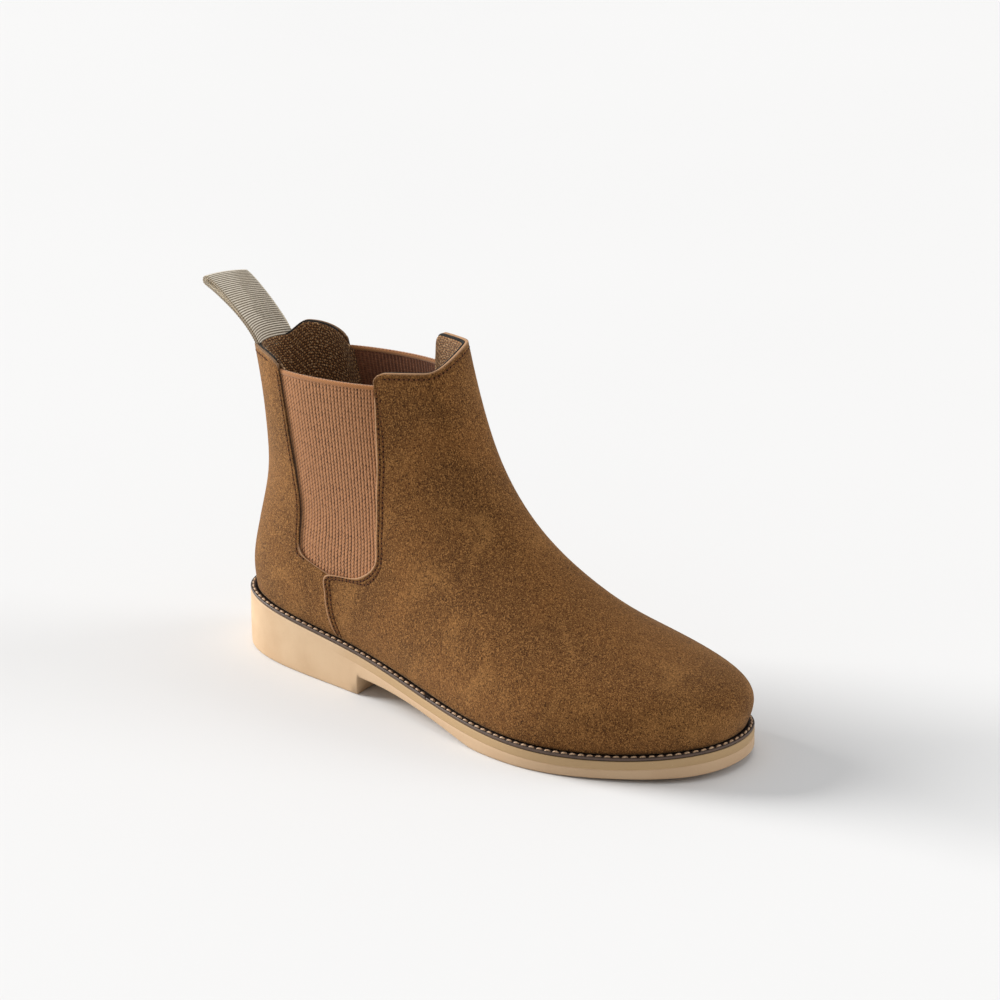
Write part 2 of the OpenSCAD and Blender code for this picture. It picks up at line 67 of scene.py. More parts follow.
# back x, back z, front x, front z, share of shaft shape, then half widths from back to front
RINGS = [
    (5, 32, 285.5, 15, 0, 17.5, 31, 32.5, 39, 50, 39.5, 23),
    (2.5, 45, 288, 28, 0.05, 17, 32.7, 35.8, 41, 50, 42.5, 25),
    (4, 60, 278, 39.5, 0.12, 15, 32.3, 36.4, 39.6, 44.2, 36, 21.5),
    (7, 76, 251, 50, 0.25, 13.6, 30.6, 35.5, 36.8, 36.2, 27, 16.5),
    (10, 93, 210, 68, 0.45, 12.6, 28.5, 33.5, 34.2, 30.2, 21.4, 13),
    (10, 111, 168, 95, 0.7, 12.2, 27.5, 32, 31.6, 26.1, 18.1, 11),
    (7.5, 133, 141, 131, 0.9, 12.3, 26.3, 30.5, 29.6, 24, 18.2, 12.5),
    (2.5, 155.5, 128, 168, 1, 12, 25, 29.5, 28.5, 23.3, 18, 12.5),
]
FOOT_PLACES = (0, 0.015, 0.12, 0.32, 0.52, 0.72, 0.88, 0.975, 1)
SHAFT_PLACES = (0, 0.03, 0.2, 0.42, 0.64, 0.8, 0.91, 0.98, 1)
LAST_BEND, BEND_STEP = (0, -1, -3.5, -7, 2, 8.5), 60
FEATHER_HEIGHTS, FEATHER_STEP = (32, 28.5, 25.2, 19.2, 14, 12, 11.2, 15.5), 40
# The lowest rings follow the feather line: their share of it, and how far over it they run
RING_WAVE = ((1, 0), (0.6, 13), (0.2, 27))
# The bend of the last fades up the shaft, but a tenth of it stays
BEND_LOST = 0.9
UP = np.array([0, 0, 1.0])


def ease(f):
    """0 below 0, 1 above 1, and a smooth step between."""
    f = np.clip(f, 0, 1)
    return f * f * (3 - 2 * f)


def through(points, f):
    """A smooth curve through the points, at places f from 0 to 1."""
    p = np.asarray(points, float)
    p = np.concatenate([[2 * p[0] - p[1]], p, [2 * p[-1] - p[-2]]])
    at = np.clip(np.asarray(f, float), 0, 1) * (len(p) - 3)
    k = np.minimum(at.astype(int), len(p) - 4)
    g = at - k
    if p.ndim > 1:
        g = g[..., None]
    a, b, c, d = p[k], p[k + 1], p[k + 2], p[k + 3]
    bend = (2 * a - 5 * b + 4 * c - d) * g**2 + (3 * b - a - 3 * c + d) * g**3
    return 0.5 * (2 * b + (c - a) * g + bend)


def feather_z(x):
    """Height of the feather line, where upper and welt meet, at x millimetres from the back."""
    return through(FEATHER_HEIGHTS, x / (FEATHER_STEP * (len(FEATHER_HEIGHTS) - 1)))


def measured(i, j):
    """The measured point j of ring i, in millimetres."""
    ring, k, side = RINGS[i], min(j, AROUND - j), -1 if j <= FRONT else 1
    share = ring[4]
    place = FOOT_PLACES[k] * (1 - share) + SHAFT_PLACES[k] * share
    x = ring[0] * (1 - place) + ring[2] * place
    z = ring[1] * (1 - place) + ring[3] * place
    if i < len(RING_WAVE):
        wave, over = RING_WAVE[i]
        z = z * (1 - wave) + (feather_z(x) + over) * wave
    half = 0 if k in (0, FRONT) else ring[4 + k]
    bend = through(LAST_BEND, x / (BEND_STEP * (len(LAST_BEND) - 1))) * (1 - BEND_LOST * share)
    return (x - HEEL_CENTRE, bend + side * half, z)


def pushed(before, here, after):
    """Control points stand off the measures, so that the smooth net passes through them."""
    return here - (before - 2 * here + after) / 6


def ends_added(rows):
    """One more row at each end, carried on straight."""
    return np.concatenate([[2 * rows[0] - rows[1]], rows, [2 * rows[-1] - rows[-2]]])


taken = np.array([[measured(i, j) for j in range(AROUND)] for i in range(len(RINGS))])
rounded = pushed(np.roll(taken, 1, 1), taken, np.roll(taken, -1, 1))
stretched = ends_added(rounded)
NET = ends_added(pushed(stretched[:-2], stretched[1:-1], stretched[2:])) * MM


def weights(f):
    """Shares of the four control points round a place of a cubic B-spline."""
    return [(1 - f) ** 3 / 6, (3 * f**3 - 6 * f * f + 4) / 6,
            (-3 * f**3 + 3 * f * f + 3 * f + 1) / 6, f**3 / 6]


def skin(u, v):
    """Points of the boot's outer skin, in metres."""
    u, v = np.broadcast_arrays(np.asarray(u, float), np.asarray(v, float))
    i = np.floor(u).astype(int)
    j = np.clip(np.floor(v).astype(int), 0, len(RINGS) - 2)
    total = 0
    for b, across in enumerate(weights(v - j)):
        for a, round_it in enumerate(weights(u - i)):
            total = total + NET[j + b, (i + a - 1) % AROUND] * (across * round_it)[..., None]
    return total


def unit(vectors):
    return vectors / np.linalg.norm(vectors, axis=-1, keepdims=True)


def outward(u, v, e=0.02):
    """Directions straight out of the skin."""
    return unit(np.cross(skin(u + e, v) - skin(u - e, v), skin(u, v + e) - skin(u, v - e)))


print("heel at", skin(0, 0).round(4), "and toe at", skin(8, 0).round(4))

# %% [markdown]
# ## Edge lines of the panels
# The vamp is one skin from the toe to the front of the shaft. The quarters are the two back skins. Their
# edges are short lists of places that one smooth curve runs through. The tabs over the elastic rise above
# the ring where the elastic ends: `lifted` pulls the places near the top upwards, more in the middle of a
# tab and not at all beside the elastic, which makes the rounded corners.

# %% Edge lines and tabs
VAMP_EDGE = [(2.7, 0), (2.65, 0.7), (2.62, 1.5), (2.63, 2.22), (2.98, 2.55),
             (3.32, 3.3), (3.55, 4.14), (3.89, 5), (4.2, 5.7), (4.53, 6.75)]
QUARTER_EDGE = [(2.7, 0), (2.65, 0.7), (2.62, 1.5), (2.63, 2.22), (2.26, 2.58),
                (2.26, 4.2), (2.27, 5.3), (2.24, 6.75)]
GORE_TOP = 6.75
FRONT_RISE_LATERAL, FRONT_RISE_MEDIAL = 0.2, 0.44
BACK_SEAM_RISE, BACK_RISE_LATERAL, BACK_RISE_MEDIAL = 0.25, 0.27, 0.5
# Where the front tab begins beside the elastic, how wide its corner is, and where it climbs
TAB_START, FRONT_CORNER = 4.5, 0.42
CLIMB_START, CLIMB_WIDE = 6.2, 2.8
# Where the back tab ends beside the elastic, how wide its corner is, and where its dome rises
TAB_END, BACK_CORNER = 2.26, 0.85
DOME_START, DOME_WIDE = 0.92, 0.62
# Ring number from which rows begin to be lifted towards the tabs
LIFT_START = 4.5
BACK_TOP = GORE_TOP + BACK_SEAM_RISE
LEATHER, LINING, GORE, GAP = 1.6 * MM, 0.7 * MM, 1.2 * MM, 0.2 * MM
GORE_DEPTH = LEATHER + GAP
LINING_DEPTH = GORE_DEPTH + GORE + GAP


def edge_place(edge, v):
    """Where round the ring an edge stands at ring number v, on the outer side."""
    line = through(edge, np.linspace(0, 1, 600))
    return np.interp(v, line[:, 1], line[:, 0])


def from_back(u):
    """How far round from the back seam a place is, on either side."""
    return np.minimum(np.abs(u), AROUND - np.abs(u))


def round_corner(f):
    """A quarter round from 0 to 1."""
    return np.sqrt(1 - (1 - np.clip(f, 0, 1)) ** 2)


def front_rise(u):
    """A round corner beside each elastic, and a slow climb to the inner side."""
    climb = ease((np.asarray(u, float) - CLIMB_START) / CLIMB_WIDE)
    height = FRONT_RISE_LATERAL * (1 - climb) + FRONT_RISE_MEDIAL * climb
    return height * round_corner((from_back(u) - TAB_START) / FRONT_CORNER)


def back_rise(u):
    """A dome on each side of the seam, higher on the inner side."""
    across = (np.asarray(u, float) + FRONT) % AROUND - FRONT
    near = np.abs(across)
    dome = np.where(across > 0, BACK_RISE_LATERAL, BACK_RISE_MEDIAL)
    share = ease((near - DOME_START) / DOME_WIDE)
    return (BACK_SEAM_RISE * (1 - share) + dome * share) * round_corner((TAB_END - near) / BACK_CORNER)


def back_rise_turned(u):
    """The inner side's rise, for places counted on the outer side."""
    return back_rise(-np.asarray(u, float))


def lifted(v, rise):
    """Ring numbers pulled up towards a tab, fully at the top and not at all low down."""
    return v + rise * ease((v - LIFT_START) / (GORE_TOP - LIFT_START))


print("vamp edge at the elastic's foot:", round(float(edge_place(VAMP_EDGE, 2.5)), 2))

# %% [markdown]
# ## From places to meshes
# A skin starts as a grid of places. Rows follow the rings. Along a row the columns stand close together
# near a cut edge, where stitches press grooves and the edge is turned, and far apart in the middle. The
# grid stays coarse: Solidify gives the leather its thickness and Subdivision Surface rounds it, with
# creases from Solidify that keep the cut edges crisp. Each grid also gets a UV map in metres, because
# weaves and ribs have to follow the cloth.

# %% Helpers for grids and modifiers
def add_object(name, points, faces, uv=None, smooth=True):
    """A mesh object from points and faces; uv has one pair per point."""
    mesh = bpy.data.meshes.new(name)
    mesh.from_pydata([tuple(p) for p in np.asarray(points, float).reshape(-1, 3)], [], faces)
    mesh.update()
    if uv is not None:
        flat = np.asarray(uv, float).reshape(-1, 2)
        loops = np.zeros(len(mesh.loops), int)
        mesh.loops.foreach_get("vertex_index", loops)
        mesh.uv_layers.new(name="cloth").data.foreach_set("uv", flat[loops].ravel())
    mesh.shade_smooth() if smooth else mesh.shade_flat()
    made = bpy.data.objects.new(name, mesh)
    bpy.context.scene.collection.objects.link(made)
    return made


def grid_faces(rows, cols, start=0, closed=False):
    """Four-sided faces between neighbours of a grid; closed joins each row's ends."""
    faces = []
    for i in range(rows - 1):
        for j in range(cols if closed else cols - 1):
            a, b = start + i * cols + j, start + i * cols + (j + 1) % cols
            faces.append((a, b, b + cols, a + cols))
    return faces


def grid_uv(points, middle=0.5):
    """Lengths along the rows and up the columns of a grid, in metres."""
    along = np.linalg.norm(np.diff(points, axis=1), axis=2)
    run = np.concatenate([np.zeros((len(points), 1)), np.cumsum(along, 1)], 1)
    run = run - run[:, -1:] * middle
    up = np.linalg.norm(np.diff(points, axis=0), axis=2).mean(1)
    rise = np.concatenate([[0], np.cumsum(up)])
    return np.stack([run, np.repeat(rise[:, None], points.shape[1], 1)], -1)


def store(obj, name, values):
    """One number for every point of a mesh, for its finish to read."""
    stored = obj.data.attributes.new(name, "FLOAT", "POINT")
    stored.data.foreach_set("value", np.ascontiguousarray(values, np.float32).ravel())


def run_along(points):
    """Length walked along a line of points, 0 at its first point."""
    return np.concatenate([[0], np.cumsum(np.linalg.norm(np.diff(points, axis=0), axis=1))])


def end_caps(first, last, count):
    """Two many-sided faces that close a tube: over the ring starting at first and the one at last."""
    return [tuple(range(first + count - 1, first - 1, -1)), tuple(range(last, last + count))]


def solidify(obj, thickness, edge_crease, rim_material=0, inner_material=0):
    """Thickness inwards from the outer face."""
    m = obj.modifiers.new("thickness", "SOLIDIFY")
    m.thickness, m.offset, m.use_even_offset = thickness, -1, False
    m.edge_crease_outer = m.edge_crease_inner = edge_crease
    m.material_offset_rim, m.material_offset = rim_material, inner_material


def subdivide(obj):
    """One round of subdivision, the same on screen and in a render."""
    m = obj.modifiers.new("smooth", "SUBSURF")
    m.levels = m.render_levels = 1


def bevel(obj, width, segments, angle=40):
    """Rounds every edge that bends by more than the angle."""
    m = obj.modifiers.new("edges", "BEVEL")
    m.width, m.segments, m.limit_method = width, segments, "ANGLE"
    m.angle_limit = math.radians(angle)
    m.harden_normals = False


def settle(obj):
    """Applies the whole stack, so that the mesh is final."""
    graph = bpy.context.evaluated_depsgraph_get()
    final = bpy.data.meshes.new_from_object(
        obj.evaluated_get(graph), preserve_all_data_layers=True, depsgraph=graph)
    obj.modifiers.clear()
    obj.data = final


def triangles(obj):
    """How many triangles an object has with its modifiers."""
    graph = bpy.context.evaluated_depsgraph_get()
    mesh = obj.evaluated_get(graph).to_mesh()
    mesh.calc_loop_triangles()
    return len(mesh.loop_triangles)


def report(*objects):
    """Prints what was made."""
    for o in objects:
        print(f"{o.name}: {triangles(o)} triangles")

# %% Helpers for rows of places
def edge_slant(edge, v):
    """How much longer the way along a row is than the way square to the edge."""
    e = 0.03
    u = edge_place(edge, v)
    above, below = skin(edge_place(edge, v + e), v + e), skin(edge_place(edge, v - e), np.maximum(v - e, 0))
    along = unit(above - below)
    row = unit(skin(u + e, v) - skin(u - e, v))
    return 1 / np.maximum(np.linalg.norm(np.cross(along, row), axis=-1), 0.45)


def spread(u_start, u_end, v, rise, near_start, near_end, inner):
    """Places along one row, close together near its ends. Returns places and both distances."""
    u = np.linspace(u_start, u_end, 240)
    run = run_along(skin(u, lifted(v, rise(u))))
    total = run[-1]
    room = min(1, 0.45 * total / max(near_start[-1], 1e-6), 0.45 * total / max(near_end[-1], 1e-6))
    first, last = near_start * room, total - near_end[::-1] * room
    wanted = np.concatenate([first, np.linspace(first[-1], last[0], inner + 2)[1:-1], last])
    return np.interp(wanted, run, u), wanted, total - wanted


def other_side(grid_u, *others):
    """The mirror image on the inner side, with the columns turned so that faces still look out."""
    return (AROUND - grid_u[:, ::-1],) + tuple(g[:, ::-1] for g in others)


def groove(distance, row, depth, width):
    """Depth pressed in beside a stitched row."""
    return -depth * np.exp(-(((distance - row) / width) ** 2))

# %% [markdown]
# ## Finishes
# Every finish is a node tree round one Principled shader. A small kit keeps the cells short: it adds a
# node, feeds its sockets with links or plain values, and gives back an output. Patterns read Object
# coordinates on leather and rubber, where they run in all directions, and the UV map on cloth.

# %% A kit for finishes
class Finish:
    """One material, with short calls for its nodes."""

    def __init__(self, name, roughness=0.9, metallic=0.0, specular=0.5,
                 sheen=0.0, sheen_roughness=0.5, sheen_tint=(1, 1, 1)):
        self.material = bpy.data.materials.new(name)
        self.material.use_nodes = True
        self.tree = self.material.node_tree
        self.shader = self.tree.nodes["Principled BSDF"]
        s = self.shader.inputs
        s["Roughness"].default_value = roughness
        s["Metallic"].default_value = metallic
        s["Sheen Weight"].default_value = sheen
        s["Sheen Roughness"].default_value = sheen_roughness
        s["Sheen Tint"].default_value = (*sheen_tint, 1)
        s["Specular IOR Level"].default_value = specular

    def node(self, kind, output, settings=(), **sockets):
        """A node with settings and sockets; a socket is called by its name, or by i and its number."""
        n = self.tree.nodes.new(kind)
        for key, value in dict(settings).items():
            setattr(n, key, value)
        for key, value in sockets.items():
            numbered = key[0] == "i" and key[1:].isdigit()
            self.feed(n.inputs[int(key[1:]) if numbered else key], value)
        return n.outputs[output]

    def feed(self, socket, value):
        """Links an output, or sets a colour or a number."""
        if isinstance(value, bpy.types.NodeSocket):
            self.tree.links.new(value, socket)
        elif hasattr(value, "__len__") and socket.type == "RGBA":
            socket.default_value = (*value, 1)
        else:
            socket.default_value = value

    def object_places(self, scale=(1, 1, 1)):
        """Places in the object's own space; a scale below 1 draws the pattern out along that axis."""
        place = self.node("ShaderNodeTexCoord", "Object")
        return self.node("ShaderNodeMapping", 0, Vector=place, Scale=scale)

    def cloth_places(self):
        """Places on the cloth: X across its threads and Y along them, in metres."""
        return self.node("ShaderNodeUVMap", 0, {"uv_map": "cloth"})

    def noise(self, places, scale, detail=2, roughness=0.5, distortion=0.0):
        return self.node("ShaderNodeTexNoise", "Fac", Vector=places, Scale=scale,
                         Detail=detail, Roughness=roughness, Distortion=distortion)

    def cells(self, places, scale, output="Distance"):
        return self.node("ShaderNodeTexVoronoi", output, Vector=places, Scale=scale)

    def range(self, value, low, high, to_low=0.0, to_high=1.0):
        """A smooth step: to_low where the value is low, to_high where it is high."""
        return self.node("ShaderNodeMapRange", 0, {"interpolation_type": "SMOOTHSTEP"},
                         i0=value, i1=low, i2=high, i3=to_low, i4=to_high)

    def math(self, operation, a, b=0.0, c=0.0):
        return self.node("ShaderNodeMath", 0, {"operation": operation}, i0=a, i1=b, i2=c)

    def part(self, places, axis):
        """The X, Y or Z of a place, or of a colour taken as one."""
        return self.node("ShaderNodeSeparateXYZ", axis, Vector=places)

    def mix(self, factor, a, b):
        """Colour a where the factor is 0, colour b where it is 1."""
        settings = {"data_type": "RGBA", "blend_type": "MIX", "clamp_factor": True}
        return self.node("ShaderNodeMix", 2, settings, i0=factor, i6=a, i7=b)

    def attribute(self, name):
        """A value stored in the mesh."""
        return self.node("ShaderNodeAttribute", "Fac", {"attribute_name": name, "attribute_type": "GEOMETRY"})

    def bump(self, height, distance, strength, under=None):
        """Small relief of a height in metres, laid over another relief if one is given."""
        sockets = {"Height": height, "Distance": distance, "Strength": strength}
        if under is not None:
            sockets["Normal"] = under
        return self.node("ShaderNodeBump", 0, **sockets)

    def finish(self, colour, normal=None, roughness=None):
        self.feed(self.shader.inputs["Base Color"], colour)
        if normal is not None:
            self.feed(self.shader.inputs["Normal"], normal)
        if roughness is not None:
            self.feed(self.shader.inputs["Roughness"], roughness)
        return self.material


def tone(*colour):
    """A colour given from 0 to 255, as the linear values a shader takes."""
    return tuple((c / 255 / 12.92) if c <= 10 else ((c / 255 + 0.055) / 1.055) ** 2.4 for c in colour)


def darker(share, colour):
    return tuple(share * c for c in colour)

# %% [markdown]
# ### Suede
# Suede is the split inner side of a hide, sanded until its fibres stand up. It has no shine of its own:
# light caught by the fibre tips makes a soft bright rim (sheen), the fibres throw tiny shadows (a fine
# speckle and bump), and a hand or a brush lays them in cloudy patches that look lighter or darker. Three
# noises of very different sizes make that: clouds of some centimetres, mottling of some millimetres, and
# the nap itself, which is a little longer than wide because the hide was brushed downwards. Single fibre
# tips are small cells of random brightness: the brightest fifth catch light, the darkest are gaps. Two values
# stored in the mesh help it: `cut` is 1 where the raw pale edge shows, and the other is 1 under a stitch row,
# where the groove is painted darker as painted shade.

# %% Suede
NAP = 0.2 * MM
CUT_PALE = tone(178, 140, 108)


def suede(name, dark, mid, light):
    f = Finish(name, roughness=0.95, specular=0.12,
               sheen=0.28, sheen_roughness=0.4, sheen_tint=(0.95, 0.64, 0.38))
    place = f.object_places()
    clouds = f.noise(place, 22, 2, 0.5, 0.8)
    mottle = f.noise(place, 150, 2, 0.5, 0.3)
    brushed = f.object_places(scale=(1, 1, 0.7))
    fibres = f.noise(brushed, 2900, 2, 0.6)
    tips = f.part(f.cells(brushed, 2500, "Color"), "X")
    lay = f.range(f.math("MULTIPLY_ADD", mottle, 0.22, f.math("MULTIPLY", clouds, 0.85)), 0.38, 0.7)
    colour = f.mix(f.math("MULTIPLY_ADD", lay, 0.85, 0.2), dark, mid)
    brushed_up = f.range(f.noise(place, 34, 2, 0.5, 1.0), 0.52, 0.74, 0.0, 0.42)
    colour = f.mix(brushed_up, colour, light)
    shade = f.range(fibres, 0.36, 0.64)
    colour = f.mix(shade, f.mix(0.45, colour, dark), f.mix(0.4, colour, light))
    colour = f.mix(f.range(tips, 0.76, 0.9, 0.0, 0.62), colour, light)
    colour = f.mix(f.range(tips, 0.2, 0.08, 0.0, 0.72), colour, darker(0.4, dark))
    # Painted shade: the suede is darkened along the grooves of the stitch rows
    groove_shade = f.attribute("groove_shade")
    colour = f.mix(f.math("MULTIPLY", groove_shade, 0.5), colour, darker(0.55, dark))
    frayed = f.math("MULTIPLY", f.attribute("cut"), f.range(fibres, 0.25, 0.55, 0.65, 1.0))
    colour = f.mix(frayed, colour, CUT_PALE)
    height = f.math("MULTIPLY_ADD", fibres, 0.7, f.math("MULTIPLY", tips, 0.3))
    soft = f.bump(mottle, 0.0006, 0.4)
    return f.finish(colour, f.bump(height, NAP, 0.9, soft))


SUEDE = suede("suede_brown", tone(66, 36, 15), tone(109, 68, 33), tone(178, 128, 74))
SUEDE_EDGE = suede("suede_cut_edge", tone(112, 74, 48), tone(158, 114, 80), tone(196, 152, 114))
# Painted shade: the quarters' raw edges get this dark copy of the suede, standing in for the shade on the
# edges beside the elastic, which face away from the key light
QUARTER_EDGE_SHADED = suede("suede_cut_edge_painted_shade", tone(44, 32, 26), tone(74, 58, 48), tone(104, 84, 70))
SUEDE_PIPING = suede("suede_piping", tone(58, 34, 22), tone(92, 56, 38), tone(120, 80, 56))

# %% [markdown]
# ### Elastic, lining and webbing
# The elastic of the side gores is covered in terracotta yarn that is knitted round rubber threads: about
# 34 upright ribs, each a row of slanting stitches. The ribs are real shape in the mesh; the slanting
# stitches come from a wave that leans one way on one half of a rib and the other way on the next. Towards
# the heel the cloth is stretched flatter, so there the dark gaps between the ribs fade out. Its inner face
# is darker and finer.
# The lining is a coarse weave, so its finish is two crossing waves, one over and one under. Each of its
# rows slips a third of a thread past the row below, which gives the slanting lines of a twill.

# %% Elastic
GORE_RIBS = 34
RIB = 1.9 * MM


def elastic(name, light, dark, chevron):
    """Knitted elastic; chevron is the height of one slanting stitch."""
    f = Finish(name, roughness=0.85, specular=0.2,
               sheen=0.25, sheen_roughness=0.4, sheen_tint=(1, 0.85, 0.7))
    place = f.cloth_places()
    rib_number = f.math("DIVIDE", f.part(place, "X"), RIB)
    along = f.math("DIVIDE", f.part(place, "Y"), chevron)
    across = f.math("FRACT", rib_number)
    lean = f.math("PINGPONG", rib_number, 0.5)
    wave = f.math("FRACT", f.math("MULTIPLY_ADD", lean, 1.7, along))
    yarn = f.math("MULTIPLY", f.range(wave, 0.0, 0.28), f.range(wave, 1.0, 0.72))
    crown = f.math("MULTIPLY", f.range(across, 0.0, 0.3), f.range(across, 1.0, 0.7))
    flat = f.range(f.part(place, "X"), 0.0, 0.45 * RIB * GORE_RIBS, 0.55, 0.0)
    crown = f.math("MULTIPLY_ADD", f.math("SUBTRACT", 1.0, crown), flat, crown)
    loops = f.noise(place, 420, 1, 0.5)
    fuzz = f.noise(f.object_places(), 1500, 2, 0.6)
    patches = f.noise(f.object_places(), 60, 2, 0.5)
    lit = f.math("MULTIPLY", f.math("MULTIPLY_ADD", crown, 0.8, 0.2),
                 f.math("MULTIPLY_ADD", yarn, 0.65, 0.35))
    lit = f.math("MULTIPLY_ADD", f.math("SUBTRACT", fuzz, 0.5), 0.8, lit)
    lit = f.math("MULTIPLY_ADD", f.math("SUBTRACT", loops, 0.5), 0.7, lit)
    colour = f.mix(f.range(lit, 0.1, 0.9), dark, light)
    colour = f.mix(f.range(patches, 0.35, 0.7, 0.0, 0.22), colour, darker(0.7, light))
    height = f.math("MULTIPLY_ADD", yarn, 0.8, f.math("MULTIPLY", fuzz, 0.2))
    return f.finish(colour, f.bump(height, 0.00022, 0.9))


ELASTIC = elastic("elastic_terracotta", tone(190, 134, 92), tone(56, 30, 19), 1.8 * MM)
ELASTIC_INSIDE = elastic("elastic_inner_face", tone(150, 96, 66), tone(92, 54, 38), 1.3 * MM)

# %% Elastic's rolled edge
def rolled_elastic(name):
    f = Finish(name, roughness=0.8, sheen=0.3, specular=0.25)
    place = f.cloth_places()
    slanting = f.math("ADD", f.part(place, "X"), f.part(place, "Y"))
    slant = f.math("FRACT", f.math("MULTIPLY", slanting, 1 / (1.3 * MM)))
    yarn = f.math("MULTIPLY", f.range(slant, 0.0, 0.3), f.range(slant, 1.0, 0.7))
    fuzz = f.noise(f.object_places(), 1400, 2)
    lit = f.math("MULTIPLY_ADD", fuzz, 0.35, f.math("MULTIPLY", yarn, 0.65))
    colour = f.mix(lit, tone(112, 64, 30), tone(186, 124, 66))
    return f.finish(colour, f.bump(yarn, 0.00012, 0.7))


ELASTIC_BAND = rolled_elastic("elastic_rolled_band")

# %% Plain weave, for the lining and the footbed
def plain_weave(name, dark, light, fleck, pitch, relief, slip=0.0):
    """Crossing threads, pitch apart; slip is the share of a thread by which each row moves on."""
    f = Finish(name, roughness=0.95, specular=0.15, sheen=0.3, sheen_tint=(0.9, 0.75, 0.6))
    place = f.cloth_places()
    wobble = f.noise(place, 300, 1)
    x = f.math("MULTIPLY_ADD", wobble, 0.35, f.math("DIVIDE", f.part(place, "X"), pitch))
    y = f.math("MULTIPLY_ADD", wobble, 0.5, f.math("DIVIDE", f.part(place, "Y"), pitch))
    step = f.math("MULTIPLY", f.math("FLOOR", y), slip)
    wx = f.math("SINE", f.math("MULTIPLY", f.math("ADD", x, step), math.pi))
    wy = f.math("SINE", f.math("MULTIPLY", y, math.pi))
    checker = f.math("MULTIPLY", wx, wy)
    threads = f.math("ABSOLUTE", checker)
    uneven = f.noise(place, 900, 2, 0.6)
    colour = f.mix(f.range(threads, 0.1, 0.7), darker(0.3, dark), dark)
    colour = f.mix(f.range(checker, 0.1, 0.7, 0.0, 0.9), colour, light)
    colour = f.mix(f.math("MULTIPLY", f.range(uneven, 0.54, 0.68), 0.8), colour, fleck)
    return f.finish(colour, f.bump(f.math("MULTIPLY_ADD", uneven, 0.3, threads), relief, 0.9))


LINING_CLOTH = plain_weave("lining_woven", tone(128, 85, 52), tone(190, 140, 90), tone(236, 196, 150),
                           pitch=1.3 * MM, relief=0.0004, slip=0.35)
FOOTBED_CLOTH = plain_weave("footbed_woven", tone(92, 62, 40), tone(128, 92, 60), tone(160, 122, 86),
                            pitch=0.8 * MM, relief=0.00025)

# %% [markdown]
# ### Grosgrain webbing
# The pull loop is grosgrain: thick weft cords run across the tape and fine warp threads cover them, so
# the tape shows a rib every 1.2 mm. The ribs are shape; the finish adds the dark gap between two ribs,
# the small dashes of the warp, and a cream selvedge thread along both edges. A brown line at the very
# edges is painted shade, standing in for the shadows on the folded tape's edges.

# %% Webbing
WEB_RIB = 1.2 * MM
LOOP_WIDTH = 25 * MM
WARP = 0.75 * MM


def grosgrain(name):
    f = Finish(name, roughness=0.85, specular=0.2, sheen=0.3, sheen_tint=(1, 0.95, 0.85))
    place = f.cloth_places()
    rib = f.math("FRACT", f.math("DIVIDE", f.part(place, "Y"), WEB_RIB))
    crown = f.math("MULTIPLY", f.range(rib, 0.0, 0.3), f.range(rib, 1.0, 0.7))
    warp = f.math("ABSOLUTE", f.math("SINE", f.math("MULTIPLY", f.part(place, "X"), math.pi / WARP)))
    fuzz = f.noise(f.object_places(), 1600, 2, 0.6)
    lit = f.math("MULTIPLY", crown, f.math("MULTIPLY_ADD", warp, 0.3, 0.7))
    lit = f.math("MULTIPLY_ADD", f.math("SUBTRACT", fuzz, 0.5), 0.55, lit)
    colour = f.mix(f.range(lit, 0.0, 0.9), tone(98, 84, 66), tone(250, 240, 222))
    patches = f.noise(f.object_places(), 70, 2)
    colour = f.mix(f.range(patches, 0.4, 0.7, 0.0, 0.18), colour, tone(172, 154, 128))
    side, edge = f.math("ABSOLUTE", f.part(place, "X")), 0.5 * LOOP_WIDTH
    selvedge = f.math("MULTIPLY", f.range(side, edge - 0.6 * MM, edge - 0.4 * MM),
                      f.range(side, edge - 0.02 * MM, edge - 0.12 * MM))
    colour = f.mix(f.math("MULTIPLY", selvedge, 0.7), colour, tone(246, 232, 202))
    # Painted shade: a brown line along the very edges of the tape
    rim = f.range(side, edge - 0.1 * MM, edge - 0.02 * MM)
    colour = f.mix(f.math("MULTIPLY", rim, 0.75), colour, tone(112, 90, 62))
    return f.finish(colour, f.bump(f.math("MULTIPLY_ADD", warp, 0.5, fuzz), 0.00012, 0.7))


WEBBING = grosgrain("webbing_grosgrain")

# %% [markdown]
# ### Thread, welt and rubber
# The thread is waxed and twisted: fine slanting lines and a little gloss. The welt is dark vegetable
# leather with burnished edges. The sole is natural rubber, moulded and then rubbed: matt, beige, faintly
# speckled, with fine upright marks from the mould. A `drop` value stored in the mesh, the distance
# under the welt, tells the upper band from the lower one.

# %% Thread and small trims
def twisted_thread(name, light, dark, roughness=0.55, specular=0.4):
    f = Finish(name, roughness=roughness, specular=specular, sheen=0.1)
    fibre = f.noise(f.object_places(), 2200, 2, 0.6)
    plies = f.cells(f.object_places(), 1500)
    lit = f.math("MULTIPLY_ADD", plies, 0.5, f.math("MULTIPLY", fibre, 0.6))
    colour = f.mix(f.range(lit, 0.25, 0.75), dark, light)
    return f.finish(colour, f.bump(fibre, 0.00008, 0.6))


WELT_THREAD = twisted_thread("thread_cream", tone(216, 182, 146), tone(128, 92, 64))
SUEDE_THREAD = twisted_thread("thread_brown", tone(126, 76, 42), tone(72, 40, 20), 0.85, 0.08)
# Painted shade: the dark inside of the needle holes
NEEDLE_HOLE_SHADE = twisted_thread("needle_hole_shade", tone(44, 22, 10), tone(26, 13, 6), 1.0, 0.0)


def edge_tape(name):
    f = Finish(name, roughness=0.9, specular=0.1)
    place = f.object_places()
    threads = f.noise(place, 1100, 3, 0.65)
    colour = f.mix(f.range(threads, 0.3, 0.7), tone(24, 24, 25), tone(60, 58, 55))
    return f.finish(colour, f.bump(threads, 0.00015, 0.8))


EDGE_TAPE = edge_tape("edge_tape_charcoal")

